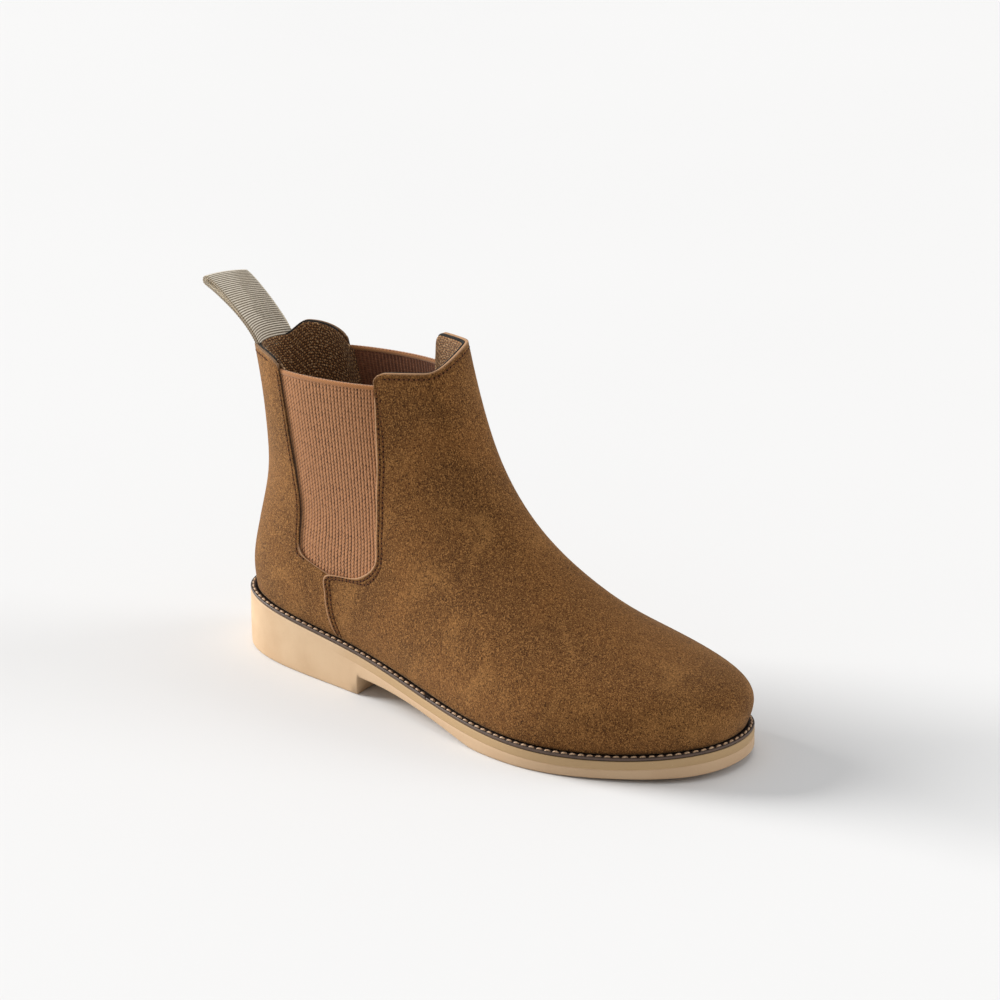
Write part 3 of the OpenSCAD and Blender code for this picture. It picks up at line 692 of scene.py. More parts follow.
# %% Welt leather
def welt_leather(name, dark, light, edge_light):
    f = Finish(name, roughness=0.5, specular=0.4)
    place = f.object_places()
    grain = f.cells(place, 900)
    mottle = f.noise(place, 160, 3, 0.6)
    rubbed = f.attribute("rubbed")
    colour = f.mix(f.range(mottle, 0.3, 0.7), dark, light)
    colour = f.mix(f.math("MULTIPLY", rubbed, f.range(mottle, 0.2, 0.6, 0.6, 1.0)), colour, edge_light)
    height = f.math("MULTIPLY_ADD", grain, 0.5, f.math("MULTIPLY", mottle, 0.5))
    return f.finish(colour, f.bump(height, 0.00012, 0.6), f.range(mottle, 0.3, 0.7, 0.42, 0.62))


WELT_LEATHER = welt_leather("welt_leather_dark", tone(32, 21, 17), tone(50, 35, 28), tone(96, 76, 64))

# %% Sole rubber
def sole_rubber(name):
    f = Finish(name, roughness=0.62, specular=0.35)
    place = f.object_places()
    clouds = f.noise(place, 40, 3, 0.5)
    speckle = f.noise(place, 1300, 2, 0.6)
    mould = f.noise(f.object_places(scale=(1, 1, 0.12)), 700, 2, 0.6)
    drop, fore = f.attribute("drop"), f.attribute("forepart")
    upper_band = f.math("MULTIPLY", f.range(drop, 3.25, 2.9), fore)
    colour = f.mix(f.range(clouds, 0.3, 0.7), tone(204, 171, 134), tone(216, 186, 150))
    # Painted shade: the forepart, which the light from the heel's side reaches less, is painted darker than
    # the heel
    colour = f.mix(f.math("MULTIPLY", fore, 0.55), colour, tone(200, 168, 134))
    colour = f.mix(f.math("MULTIPLY", upper_band, 0.8), colour, tone(184, 152, 108))
    colour = f.mix(f.range(speckle, 0.35, 0.2, 0.0, 0.35), colour, tone(150, 116, 82))
    colour = f.mix(f.range(speckle, 0.66, 0.8, 0.0, 0.4), colour, tone(236, 214, 180))
    height = f.math("MULTIPLY_ADD", mould, 0.6, f.math("MULTIPLY", speckle, 0.4))
    return f.finish(colour, f.bump(height, 0.00016, 0.5), f.range(clouds, 0.3, 0.7, 0.55, 0.7))


SOLE_RUBBER = sole_rubber("sole_rubber_beige")

# %% Hidden layers: board, stiffener, cork, steel and foam
def fibrous(name, dark, light, scale):
    f = Finish(name, roughness=0.9, specular=0.2)
    place = f.object_places(scale=(1, 1, 3))
    strands, lumps = f.noise(place, scale, 4, 0.7, 1.2), f.cells(place, scale * 0.6)
    colour = f.mix(f.range(f.math("MULTIPLY_ADD", lumps, 0.4, strands), 0.35, 0.95), dark, light)
    return f.finish(colour, f.bump(strands, 0.0002, 0.7))


def brushed_steel(name):
    f = Finish(name, roughness=0.35, metallic=1.0)
    lines = f.noise(f.object_places(scale=(0.03, 1, 1)), 2400, 2, 0.6)
    colour = f.mix(lines, tone(140, 144, 150), tone(190, 193, 198))
    return f.finish(colour, f.bump(lines, 0.00004, 0.5), f.range(lines, 0.3, 0.7, 0.28, 0.42))


BOARD = fibrous("insole_board_fibre", tone(132, 100, 66), tone(182, 148, 106), 500)
STIFFENER = fibrous("stiffener_board", tone(168, 148, 116), tone(206, 190, 160), 700)
CORK = fibrous("cork_filler", tone(96, 62, 34), tone(186, 138, 86), 260)
STEEL = brushed_steel("shank_steel")
print(len(bpy.data.materials), "finishes")

# %% [markdown]
# ## The vamp
# The vamp is cut in one piece, wetted and pulled over the last. At its back edge it laps over the quarter,
# so there it stands a leather's thickness higher, and beside the elastic its cut edge shows light. Two
# rows of stitches run along that edge and press shallow grooves. Sculpting would give folds more freely,
# but the grid with its own edge distances puts lap, grooves and stitches exactly beside the cut edge.

# %% Vamp
STITCH_ROWS = (2.0 * MM, 4.1 * MM)
# Distances of a skin's columns from its cut edge
NEAR_EDGE = np.array([0, 0.3, 0.7, 1.15, 1.6, 2.0, 2.4, 2.8,
                      3.3, 3.7, 4.1, 4.5, 4.9, 5.6, 6.8, 8.4]) * MM
PRESS, PRESS_WIDTH = 0.24 * MM, 0.55 * MM
TOPLINE_ROW = 2.9 * MM
LAP_RISE, LAP_WIDE = 0.75 * MM, 7 * MM
EDGE_ROLL, EDGE_ROLL_WIDE = 0.35 * MM, 0.6 * MM
ROW_STEP, TOP_ROWS, TOP_BAND = 0.105, 14, 0.3


def hide_waves(points, size=0.22 * MM):
    """Low, slow unevenness of a pulled hide."""
    x, y, z = np.moveaxis(points * 1000, -1, 0)
    waves = np.sin(x / 9.5 + 0.7 * np.sin(z / 12)) + np.sin(z / 8 + y / 11 + 1.3)
    return size * (waves + np.sin((x - z) / 15 + y / 7)) / 3


def panel_rows():
    """Ring numbers of a panel's rows: even up the foot, close together under the top edge."""
    low = np.arange(0, GORE_TOP - TOP_BAND - 0.04, ROW_STEP)
    return np.concatenate([low, np.linspace(GORE_TOP - TOP_BAND, GORE_TOP, TOP_ROWS)])


def top_distance(u, v_top, v):
    """Distance of each place from the top edge above it, in metres."""
    return np.linalg.norm(skin(u, v_top) - skin(u, v), axis=-1)


def vamp_places():
    """The vamp's grid: places, distances from its cut edges, and ring numbers."""
    u, v, near, ring_of = [], [], [], []
    for ring in panel_rows():
        edge = float(edge_place(VAMP_EDGE, ring))
        slant = float(edge_slant(VAMP_EDGE, ring))
        close = NEAR_EDGE * slant
        places, a, b = spread(edge, AROUND - edge, ring, front_rise, close, close, 70)
        u.append(places)
        v.append(lifted(ring, front_rise(places)))
        near.append(np.minimum(a, b) / slant)
        ring_of.append(np.full(len(places), ring))
    return tuple(np.array(g) for g in (u, v, near, ring_of))


def lap_height(ring, near):
    """Height of the vamp where it laps over the quarter, beside its cut edge below the elastic."""
    return LAP_RISE * (1 - ease(near / LAP_WIDE)) * (1 - ease((ring - 2.1) / 0.4)) * ease(ring / 0.35)


def front_tab(u):
    """1 on the front tab, 0 beside it."""
    return ease((from_back(u) - 4.75) / 0.3)


def vamp_rise(u, v, near, ring):
    """Height of the vamp over the last: lap, grooves of the stitch rows and the rolled edge."""
    rows = sum(groove(near, row, PRESS, PRESS_WIDTH) for row in STITCH_ROWS)
    tab = front_tab(u) * ease((ring - 5.5) / 0.5)
    top = groove(top_distance(u, v[-1:], v), TOPLINE_ROW, PRESS, PRESS_WIDTH) * tab
    rolled = -EDGE_ROLL * np.exp(-near / EDGE_ROLL_WIDE)
    return lap_height(ring, near) + rows * ease(ring / 0.12) + top + rolled


def stitch_dips(distance, rows):
    """1 along the middle of a stitched row, 0 away from it."""
    return sum(np.exp(-(((distance - row) / PRESS_WIDTH) ** 2)) for row in rows)


def skin_mesh(name, u, v, rise, cut, groove_shade, edge_material):
    """A suede panel from its places, its height over the last and the two values for its finish."""
    flat = skin(u, v)
    points = flat + outward(u, v) * (rise + hide_waves(flat))[..., None]
    made = add_object(name, points, grid_faces(*u.shape), grid_uv(points))
    store(made, "cut", np.clip(cut, 0, 1))
    store(made, "groove_shade", np.clip(groove_shade, 0, 1))
    made.data.materials.append(SUEDE)
    made.data.materials.append(edge_material)
    solidify(made, LEATHER, 0.75, rim_material=1)
    subdivide(made)
    return made


def cut_edge(near, top):
    """1 on the pale strip beside a cut edge, at distances from the panel's side and from its top."""
    wide = 0.75 * MM
    return np.maximum(1 - ease((near - 0.3 * MM) / wide), 0.8 * (1 - ease((top - 0.2 * MM) / wide)))


u, v, near, ring = vamp_places()
top = top_distance(u, v[-1:], v)
# Under the stitch rows the suede is painted darker, as painted shade in the grooves
groove_shade = stitch_dips(near, STITCH_ROWS) + stitch_dips(top, [TOPLINE_ROW]) * front_tab(u)
vamp = skin_mesh("vamp_skin", u, v, vamp_rise(u, v, near, ring), cut_edge(near, top), groove_shade, SUEDE_EDGE)
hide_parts("vamp")
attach(vamp, "boot")
report(vamp)

# %% [markdown]
# ## The quarters
# Two quarters meet at the back seam. Its front margin dips under the vamp; above that, its cut edge bounds
# the elastic.

# %% Quarters
UNDERLAP = 0.1
GORE_FOOT = 2.2
BACK_SEAM = 0.012
QUARTER_ROWS = STITCH_ROWS[:1]
NEAR_BACK = np.array([0, 0.35, 0.8, 1.6, 3.0]) * MM


def quarter_front(ring):
    """The quarter's front edge: under the vamp below the elastic, its own cut edge beside it."""
    under = edge_place(VAMP_EDGE, ring) + UNDERLAP
    own = edge_place(QUARTER_EDGE, ring) + UNDERLAP * (1 - ease((ring - GORE_FOOT) / 0.1))
    return np.where(ring < GORE_FOOT, under, np.minimum(under, own))


def quarter_places(rise):
    """A quarter's grid: places, distances from its front edge, and ring numbers."""
    u, v, near, ring_of = [], [], [], []
    for ring in panel_rows():
        edge = float(quarter_front(np.array(ring)))
        slant = float(edge_slant(QUARTER_EDGE, ring)) if ring > GORE_FOOT else 1.0
        places, a, b = spread(BACK_SEAM, edge, ring, rise, NEAR_BACK, NEAR_EDGE * slant, 22)
        u.append(places)
        v.append(lifted(ring, rise(places)))
        near.append(b / slant)
        ring_of.append(np.full(len(places), ring))
    return tuple(np.array(g) for g in (u, v, near, ring_of))


def beside_gore(ring):
    """1 where the quarter's edge lies beside the elastic, 0 where it dips under the vamp."""
    return ease((ring - 2.15) / 0.12)


def back_tab(u):
    """1 on the back tab, 0 beside it."""
    return ease((2.1 - u) / 0.3)


def quarter_rise(u, v, near, ring):
    """Height of a quarter over the last: grooves of the stitch rows, the dip under the vamp, the seam, the
    edge.
    """
    beside = beside_gore(ring)
    rows = sum(groove(near, row, PRESS, PRESS_WIDTH) for row in QUARTER_ROWS) * beside
    dip = -0.95 * MM * (1 - ease((near - 1.2 * MM) / (3.0 * MM))) * (1 - beside)
    tab = back_tab(u) * ease((ring - 5.5) / 0.5)
    top = groove(top_distance(u, v[-1:], v), TOPLINE_ROW, PRESS, PRESS_WIDTH) * tab
    seam = -0.5 * MM * np.exp(-(u - BACK_SEAM) / 0.05)
    rolled = -EDGE_ROLL * np.exp(-near / EDGE_ROLL_WIDE) * beside
    return rows + dip + top + seam + rolled


for side, rise_of_tab in (("lateral", back_rise), ("medial", back_rise_turned)):
    u, v, near, ring = quarter_places(rise_of_tab)
    rise, top, beside = quarter_rise(u, v, near, ring), top_distance(u, v[-1:], v), beside_gore(ring)
    # Beside the elastic the pale strip is left off, so the quarter's edge there keeps the dark look of
    # painted shade
    foot = beside * (1 - ease((ring - 2.55) / 0.25))
    # A metre added to a distance keeps that edge out
    cut = np.maximum(cut_edge(near, top + 1) * foot, 0.5 * cut_edge(near + 1, top))
    # Under the quarter's stitch row and its topline the suede is painted darker, as painted shade in the
    # grooves
    groove_shade = 0.6 * stitch_dips(near, QUARTER_ROWS) * beside + stitch_dips(top, [TOPLINE_ROW]) * back_tab(u)
    if side == "medial":
        u, v, rise, cut, groove_shade = other_side(u, v, rise, cut, groove_shade)
    quarter = skin_mesh(f"quarter_skin_{side}", u, v, rise, cut, groove_shade, QUARTER_EDGE_SHADED)
    settle(quarter)
    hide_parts(f"quarter_{side}_lower", f"quarter_{side}_upper")
    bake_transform(quarter)
    report(quarter)

# %% [markdown]
# ## Piping on the back seam
# A thin folded strip of darker suede covers the seam at the back. A curve with a round bevel is the usual
# way to make piping; here it is a mesh that follows the back seam.

# %% Helper: a tube along points
def tube(name, line, normals, radius, flat, material, sides=8):
    """A closed tube; flat below 1 presses it towards its normals."""
    tangent = unit(np.gradient(line, axis=0))
    side = unit(np.cross(tangent, normals))
    up = unit(np.cross(side, tangent))
    angle = np.linspace(0, 2 * math.pi, sides, endpoint=False)
    ring = side[:, None] * np.cos(angle)[None, :, None] + up[:, None] * flat * np.sin(angle)[None, :, None]
    faces = grid_faces(len(line), sides, closed=True) + end_caps(0, (len(line) - 1) * sides, sides)
    faces = [tuple(reversed(f)) for f in faces]
    uv = np.stack(np.broadcast_arrays(angle[None, :] * radius, run_along(line)[:, None]), -1)
    made = add_object(name, line[:, None] + ring * radius, faces, uv)
    made.data.materials.append(material)
    return made


# %% Piping
PIPING_RADIUS, PIPING_FLAT, PIPING_PROUD = 0.72 * MM, 0.75, 0.12 * MM
v = np.linspace(0.0, BACK_TOP - 0.02, 90)
out = outward(np.zeros_like(v), v)
seam_line = skin(np.zeros_like(v), v) + out * PIPING_PROUD
piping = tube("back_seam_piping", seam_line, out, PIPING_RADIUS, PIPING_FLAT, SUEDE_PIPING)
subdivide(piping)
settle(piping)
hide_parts("back_piping")
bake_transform(piping)
report(piping)

# %% [markdown]
# ## Elastic gores
# The gore lies under the margins of vamp and quarter. It is a straight piece of cloth, so its ribs run down
# beside the vamp's edge and dive under its foot instead of following the curve. The grid has six columns
# for each rib, so the ribs are real waves that catch the light at any angle.

# %% Gores
GORE_LAP = 0.2
GORE_LOW = 1.5
BAND_TALL = 2.3 * MM
RIB_DEEP = 0.3 * MM
GORE_PROUD = 0.25 * MM
COLUMNS_PER_RIB = 6
GORE_FORE = [(3.4, 1.5), (3.42, 1.95), (3.46, 2.55), (3.57, 3.3),
             (3.79, 4.14), (4.15, 5), (4.42, 5.7), (4.72, 6.75)]


def gore_places(rows, cols):
    """The gore's grid: places, and shares of the way from its rear edge to its fore edge."""
    ring = np.linspace(GORE_LOW, GORE_TOP, rows)[:, None]
    rear = edge_place(QUARTER_EDGE, np.maximum(ring, 2.6)) - GORE_LAP
    fore = edge_place(GORE_FORE, ring)
    share = np.linspace(0, 1, cols)[None, :]
    return np.broadcast_arrays(rear + (fore - rear) * share, ring, share)


def gore_mesh(side):
    u, v, share = gore_places(64, GORE_RIBS * COLUMNS_PER_RIB + 1)
    if side == "medial":
        u, v, share = other_side(u, v, share)
    height = RIB_DEEP * np.abs(np.sin(math.pi * share * GORE_RIBS)) - RIB_DEEP
    points = skin(u, v) - outward(u, v) * (GORE_DEPTH - GORE_PROUD - height)[..., None]
    uv = grid_uv(points)
    uv[..., 0] = share * GORE_RIBS * RIB
    made = add_object(f"gore_elastic_{side}", points, grid_faces(*u.shape), uv)
    made.data.materials.append(ELASTIC)
    made.data.materials.append(ELASTIC_INSIDE)
    solidify(made, GORE, 0.3, inner_material=1)
    settle(made)
    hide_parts(f"gore_{side}")
    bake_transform(made)
    return made


for side in ("lateral", "medial"):
    report(gore_mesh(side))

# %% Rolled top edge of the gores
def closed_sweep(name, sections, material, uv=None, caps=True):
    """A solid strip through closed sections, one row of points each, capped at both ends if asked."""
    n, m = sections.shape[:2]
    faces = grid_faces(n, m, closed=True)
    if caps:
        faces += end_caps(0, (n - 1) * m, m)
    if uv is None:
        sides = np.linalg.norm(np.diff(sections, axis=1, append=sections[:, :1]), axis=2).mean(0)
        round_it = np.concatenate([[0], np.cumsum(sides)[:-1]])
        uv = np.stack(np.broadcast_arrays(run_along(sections.mean(1))[:, None], round_it[None, :]), -1)
    made = add_object(name, sections, faces, uv)
    made.data.materials.append(material)
    return made


# (depth under the gore's face in millimetres, height as a share of the band's)
BAND_SECTION = np.array([(-0.1, -1.0), (-0.45, -0.85), (-0.5, -0.5), (-0.45, -0.15), (-0.1, 0.0),
                         (0.9, 0.05), (1.35, -0.15), (1.4, -0.5), (1.35, -0.85), (0.9, -1.0)])


def gore_band(side):
    rear, fore = edge_place(QUARTER_EDGE, GORE_TOP) - 0.1, edge_place(VAMP_EDGE, GORE_TOP) + 0.1
    u = rear + (fore - rear) * np.linspace(0, 1, 40)
    if side == "medial":
        u = AROUND - u[::-1]
    top, out = skin(u, GORE_TOP), outward(u, GORE_TOP)
    up = unit(skin(u, GORE_TOP) - skin(u, GORE_TOP - 0.2))
    depth = (GORE_DEPTH + BAND_SECTION[:, 0] * MM)[None, :, None]
    rise = (BAND_SECTION[:, 1] * BAND_TALL)[None, :, None]
    sections = top[:, None] - out[:, None] * depth + up[:, None] * rise
    made = closed_sweep(f"gore_rolled_edge_{side}", sections, ELASTIC_BAND)
    subdivide(made)
    settle(made)
    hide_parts(f"gore_band_{side}")
    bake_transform(made)
    return made


for side in ("lateral", "medial"):
    report(gore_band(side))

# %% [markdown]
# ## Lining and edge tape
# Inside, a coarse woven lining covers the leather. It shows at the mouth of the boot, so it gets a weave at
# true scale. A charcoal tape is folded over the raw top edges of the two tabs; from above it is the
# dark line between suede and lining.

# %% Linings
LINING_LAP = 0.12


def lining_mesh(name, u, v, node):
    """A layer of lining cloth behind leather and elastic."""
    points = skin(u, v) - outward(u, v) * LINING_DEPTH
    made = add_object(name, points, grid_faces(*u.shape), grid_uv(points))
    made.data.materials.append(LINING_CLOTH)
    solidify(made, LINING, 0.5)
    subdivide(made)
    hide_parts(node)
    return made


rows = np.concatenate([np.arange(0.02, 6.6, 0.2), [6.62, GORE_TOP - 0.02]])[:, None]
edge = edge_place(VAMP_EDGE, rows) - LINING_LAP
share = np.linspace(0, 1, 64)[None, :]
u = edge + (AROUND - 2 * edge) * share
vamp_lining = lining_mesh("vamp_lining_cloth", u, lifted(rows, front_rise(u)), "vamp_lining")
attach(vamp_lining, "boot")

edge = np.where(rows < 2.4, edge_place(VAMP_EDGE, rows) - 0.16, edge_place(QUARTER_EDGE, rows) + LINING_LAP)
u = (2 * share - 1) * edge
back_lining = lining_mesh("back_lining_cloth", u + AROUND, lifted(rows, back_rise(u)), "back_lining")
settle(back_lining)
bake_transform(back_lining)
report(vamp_lining, back_lining)

# %% Edge tape
# (depth under the skin, height over the top edge): up behind the leather, over it, down the lining
TAPE_SECTION = np.array([(1.72, -4.0), (1.66, -1.2), (1.7, -0.2), (1.95, 0.12), (2.4, 0.18),
                         (2.9, 0.1), (3.12, -0.25), (3.12, -1.6), (3.0, -3.0), (2.6, -4.0)]) * MM


def edge_tape_strip(name, u, rise, node, body):
    v = lifted(GORE_TOP, rise(u))
    top, out = skin(u, v), outward(u, v)
    up = unit(skin(u, v) - skin(u, v - 0.15))
    depth, height = TAPE_SECTION[None, :, :1], TAPE_SECTION[None, :, 1:]
    sections = top[:, None] - out[:, None] * depth + up[:, None] * height
    made = closed_sweep(name, sections, EDGE_TAPE)
    subdivide(made)
    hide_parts(node)
    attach(made, body)
    return made


front_tape = edge_tape_strip("edge_tape_front", np.linspace(4.62, AROUND - 4.62, 60), front_rise,
                             "front_edge_binding", "boot")
back_tape = edge_tape_strip("edge_tape_back", AROUND + np.linspace(-2.1, 2.1, 50), back_rise,
                            "back_edge_binding", "shaft_back")
report(front_tape, back_tape)

# %% [markdown]
# ## Pull loop
# One strip of webbing is folded double and its tails are sewn in between suede and lining. The loop follows
# the round of the heel where it leaves the boot, leans back more and more, and bows open near its tip. The
# path of the strip is worked out in the plane of the loop and then spread across the width; a small wave
# along the path is the ribs.

# %% Pull loop
LOOP_LONG = 42 * MM
WEB_THICK = 1.0 * MM
LAYERS = 0.53 * MM
TIP_OPEN = 1.9 * MM
TAIL = 4.5 * MM
# The fold at the tip runs a little askew, so the loop is this much shorter on its inner side
SKEW = 4.5 * MM
RIB_HIGH = 0.11 * MM
# At its root the loop is bowed round the heel by this much at its edges; the bow is gone after FLATTEN
ROOT_BOW, FLATTEN = 4.9 * MM, 30 * MM
OPEN_FROM = 9 * MM
# Lean from upright, in degrees, at lengths from the root in millimetres
LEAN_AT = [-20, -5, -1.5, 2, 8, 16, 26, 34, 44]
LEAN = [13, 13.5, 18, 30, 36, 42, 53, 62, 70]
LOOP_ROOT = skin(0.0, BACK_TOP) - outward(0.0, BACK_TOP) * 2.4 * MM


def loop_path():
    """Middle line of the strip in the loop's plane: up the back layer, round the tip, down the front."""
    straight = LOOP_LONG - TIP_OPEN
    s = np.linspace(-TAIL, straight, 160)
    half = LAYERS + (TIP_OPEN - LAYERS) * ease((s - OPEN_FROM) / (straight - OPEN_FROM))
    turn = np.linspace(-math.pi / 2, math.pi / 2, 40)[1:-1]
    tip = np.stack([straight + TIP_OPEN * np.cos(turn), TIP_OPEN * np.sin(turn)], 1)
    line = np.concatenate([np.stack([s, -half], 1), tip, np.stack([s, half], 1)[::-1]])
    run = run_along(line)
    even = np.arange(0, run[-1], WEB_RIB / 5)
    return np.stack([np.interp(even, run, line[:, k]) for k in (0, 1)], 1), even


def loop_spine():
    """The leaning middle line of the loop, as points for evenly stepped lengths from the root."""
    s = np.linspace(-TAIL, LOOP_LONG + 1 * MM, 600)
    lean = np.radians(np.interp(s / MM, LEAN_AT, LEAN))
    lean = np.convolve(np.pad(lean, 20, "edge"), np.ones(41) / 41, "valid")
    step = s[1] - s[0]
    x, z = np.cumsum(-np.sin(lean)) * step, np.cumsum(np.cos(lean)) * step
    x, z = x - np.interp(0, s, x), z - np.interp(0, s, z)
    return s, x, z, lean


def loop_points(cols=13):
    """The ribbed strip's middle surface, and its cloth coordinates."""
    path, run = loop_path()
    s0, x0, z0, lean0 = loop_spine()
    y = np.linspace(-0.5, 0.5, cols) * LOOP_WIDTH
    wave = RIB_HIGH * np.cos(2 * math.pi * run / WEB_RIB)
    columns = []
    for across in y:
        share = (across / LOOP_WIDTH + 0.5) ** 2
        s = path[:, 0] - SKEW * share * ease(path[:, 0] / LOOP_LONG)
        x, z, lean = (np.interp(s, s0, k) for k in (x0, z0, lean0))
        middle = np.stack([x + path[:, 1] * np.cos(lean), np.full_like(x, across),
                           z + path[:, 1] * np.sin(lean)], 1)
        tangent = unit(np.gradient(middle, axis=0))
        face = np.stack([-tangent[:, 2], np.zeros_like(x), tangent[:, 0]], 1)
        bow = ROOT_BOW * (2 * across / LOOP_WIDTH) ** 2 * (1 - ease(np.maximum(s, 0) / FLATTEN))
        columns.append(middle + face * wave[:, None] + np.stack([bow, 0 * bow, 0 * bow], 1))
    points = np.stack(columns, 1)
    uv = np.stack(np.broadcast_arrays(y[None, :], run[:, None]), -1)
    return points + LOOP_ROOT, uv


points, uv = loop_points()
pull_loop = add_object("pull_loop_webbing", points, grid_faces(*points.shape[:2]), uv)
pull_loop.data.materials.append(WEBBING)
solidify(pull_loop, WEB_THICK, 0.6)
pull_loop.modifiers["thickness"].offset = 0
settle(pull_loop)
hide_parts("pull_loop", "pull_loop_base")
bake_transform(pull_loop)
report(pull_loop)

# %% [markdown]
# ## Stitches
# A stitch is a short thick thread that dives into the leather at both ends, where the needle left a hole;
# a small dark plug in each hole is painted shade. There are hundreds, so each is one small six-sided
# capsule of 32 faces, and a whole row is a single mesh. The rows follow lines at even distances from a
# cut edge, found the same way as the grooves.

# %% Helper: lines beside an edge, and rows of stitches
HOLE_WIDE, HOLE_LONG, HOLE_SIDES = 0.5 * MM, 0.62 * MM, 6
HOLE_DEEP, HOLE_PROUD = 0.5 * MM, 0.1 * MM
# Along a stitch, as shares: where its rings stand, how thick they are and how far they dive in
STITCH_ALONG = np.array([0, 0.14, 0.38, 0.62, 0.86, 1.0])
STITCH_SIZE = np.array([0.5, 0.95, 1.0, 1.0, 0.95, 0.5])
STITCH_DIVE = np.array([1.0, 0.35, 0.0, 0.0, 0.35, 1.0])


def line_beside(edge, distance, rings, inwards=1):
    """Places at a distance from an edge, one for each ring number; inwards is the side of the edge."""
    out = []
    for ring in rings:
        u = float(edge_place(edge, ring)) + inwards * np.linspace(0, 1.2, 200)
        out.append(np.interp(distance * float(edge_slant(edge, ring)), run_along(skin(u, ring)), u))
    return np.array(out)


def evenly(points, pitch):
    """Lengths along a line of points, and those at which stitches are centred."""
    run = run_along(points)
    count = max(1, int(run[-1] / pitch))
    return run, (np.arange(count) + 0.5) * run[-1] / count


def look_up(length, run, values):
    """The point or direction that a line has at a length along it."""
    return np.array([np.interp(length, run, values[:, axis]) for axis in range(3)])


def capsule(a, b, up, radius, sink, sides=6):
    """A stitch from a to b that bows out and dives in at both ends."""
    axis = b - a
    side = unit(np.cross(axis, up))
    angle = np.linspace(0, 2 * math.pi, sides, endpoint=False)
    ring = side * np.cos(angle)[:, None] + up * np.sin(angle)[:, None]
    middle = a + axis * STITCH_ALONG[:, None] - up * (STITCH_DIVE * sink)[:, None]
    return middle[:, None] + ring[None] * (STITCH_SIZE * radius)[:, None, None]


def needle_hole_shade(here, ahead, up):
    """A low dark plug, painted shade inside a needle hole, long along the row: its rim in the leather and its
    crown just over it.
    """
    side = unit(np.cross(ahead - here, up) + 1e-9)
    fore = np.cross(up, side)
    angle = np.linspace(0, 2 * math.pi, HOLE_SIDES, endpoint=False)[:, None]
    flat = side[None] * np.cos(angle) * HOLE_WIDE + fore[None] * np.sin(angle) * HOLE_LONG
    return np.stack([here + flat - up * HOLE_DEEP, here + flat * 0.8 + up * HOLE_PROUD])


def stitches(name, lines, material, radius, length, pitch, sink=0.25 * MM, slant=0.0, holes=True):
    """One mesh of stitches for lines given as (points, outward directions)."""
    points, faces, start = [], [], 0
    for line, out in lines:
        run, middles = evenly(line, pitch)
        for m in middles:
            a, b = look_up(m - length / 2, run, line), look_up(m + length / 2, run, line)
            up = unit(look_up(m, run, out))
            across = unit(np.cross(b - a, up)) * slant * length / 2
            rings = capsule(a + across, b - across, up, radius, sink)
            rows, cols = rings.shape[:2]
            points.append(rings.reshape(-1, 3))
            sides = grid_faces(rows, cols, start, closed=True)
            faces += [f[::-1] for f in sides + end_caps(start, start + (rows - 1) * cols, cols)]
            start += rows * cols
    thread_faces = len(faces)
    for line, out in lines if holes else []:
        run, middles = evenly(line, pitch)
        gap = middles[1] - middles[0] if len(middles) > 1 else pitch
        for m in middles - gap / 2:
            here, ahead = look_up(m, run, line), look_up(m + 0.5 * MM, run, line)
            points.append(needle_hole_shade(here, ahead, unit(look_up(m, run, out))).reshape(-1, 3))
            faces += grid_faces(2, HOLE_SIDES, start, closed=True)
            faces += end_caps(start, start + HOLE_SIDES, HOLE_SIDES)
            start += 2 * HOLE_SIDES
    made = add_object(name, np.concatenate(points), faces)
    made.data.materials.append(material)
    made.data.materials.append(NEEDLE_HOLE_SHADE)
    index = np.zeros(len(faces), int)
    index[thread_faces:] = 1
    made.data.polygons.foreach_set("material_index", index)
    return made


def on_skin(u, v, height):
    """Points at a height over the leather's slow waves, and the directions out of it."""
    flat, out = skin(u, v), outward(u, v)
    return flat + out * (height + hide_waves(flat))[..., None], out


# %% Stitches on the uppers
STITCH, PITCH, THREAD_R = 1.55 * MM, 2.45 * MM, 0.3 * MM
# How deep the middle of a thread lies under the suede, which its stitches press down
THREAD_SUNK, TAIL_THREAD_SUNK = 0.1 * MM, 0.05 * MM
VAMP_LINE = np.linspace(0.12, GORE_TOP - 0.14, 150)
QUARTER_LINE = np.linspace(2.36, GORE_TOP - 0.14, 120)


def suede_stitches(name, lines, node):
    """Stitches in brown thread along lines of (places, ring numbers, height over the suede)."""
    made = stitches(name, [on_skin(*line) for line in lines], SUEDE_THREAD, THREAD_R, STITCH, PITCH)
    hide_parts(node)
    return made


def mirrored_lines(lines):
    """The same lines on the inner side."""
    return [(AROUND - u, v, height) for u, v, height in lines]


def vamp_rows(turn):
    """The two rows beside the vamp's edge; turn gives the place at which the tab's rise is read."""
    lines = [(line_beside(VAMP_EDGE, row, VAMP_LINE), row) for row in STITCH_ROWS]
    return [(u, lifted(VAMP_LINE, front_rise(turn(u))), lap_height(VAMP_LINE, row) - THREAD_SUNK)
            for u, row in lines]


def quarter_rows(rise):
    """The row beside the quarter's edge, along the elastic."""
    lines = [line_beside(QUARTER_EDGE, row, QUARTER_LINE, inwards=-1) for row in QUARTER_ROWS]
    return [(u, lifted(QUARTER_LINE, rise(u)), -THREAD_SUNK) for u in lines]


for side in ("lateral", "medial"):
    lines = vamp_rows(lambda u: u) if side == "lateral" else mirrored_lines(vamp_rows(lambda u: AROUND - u))
    made = suede_stitches(f"stitches_vamp_{side}", lines, f"vamp_stitching_{side}")
    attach(made, "boot")
    report(made)
    lines = quarter_rows(back_rise) if side == "lateral" else mirrored_lines(quarter_rows(back_rise_turned))
    made = suede_stitches(f"stitches_quarter_{side}", lines, f"quarter_stitching_{side}")
    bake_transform(made)
    report(made)

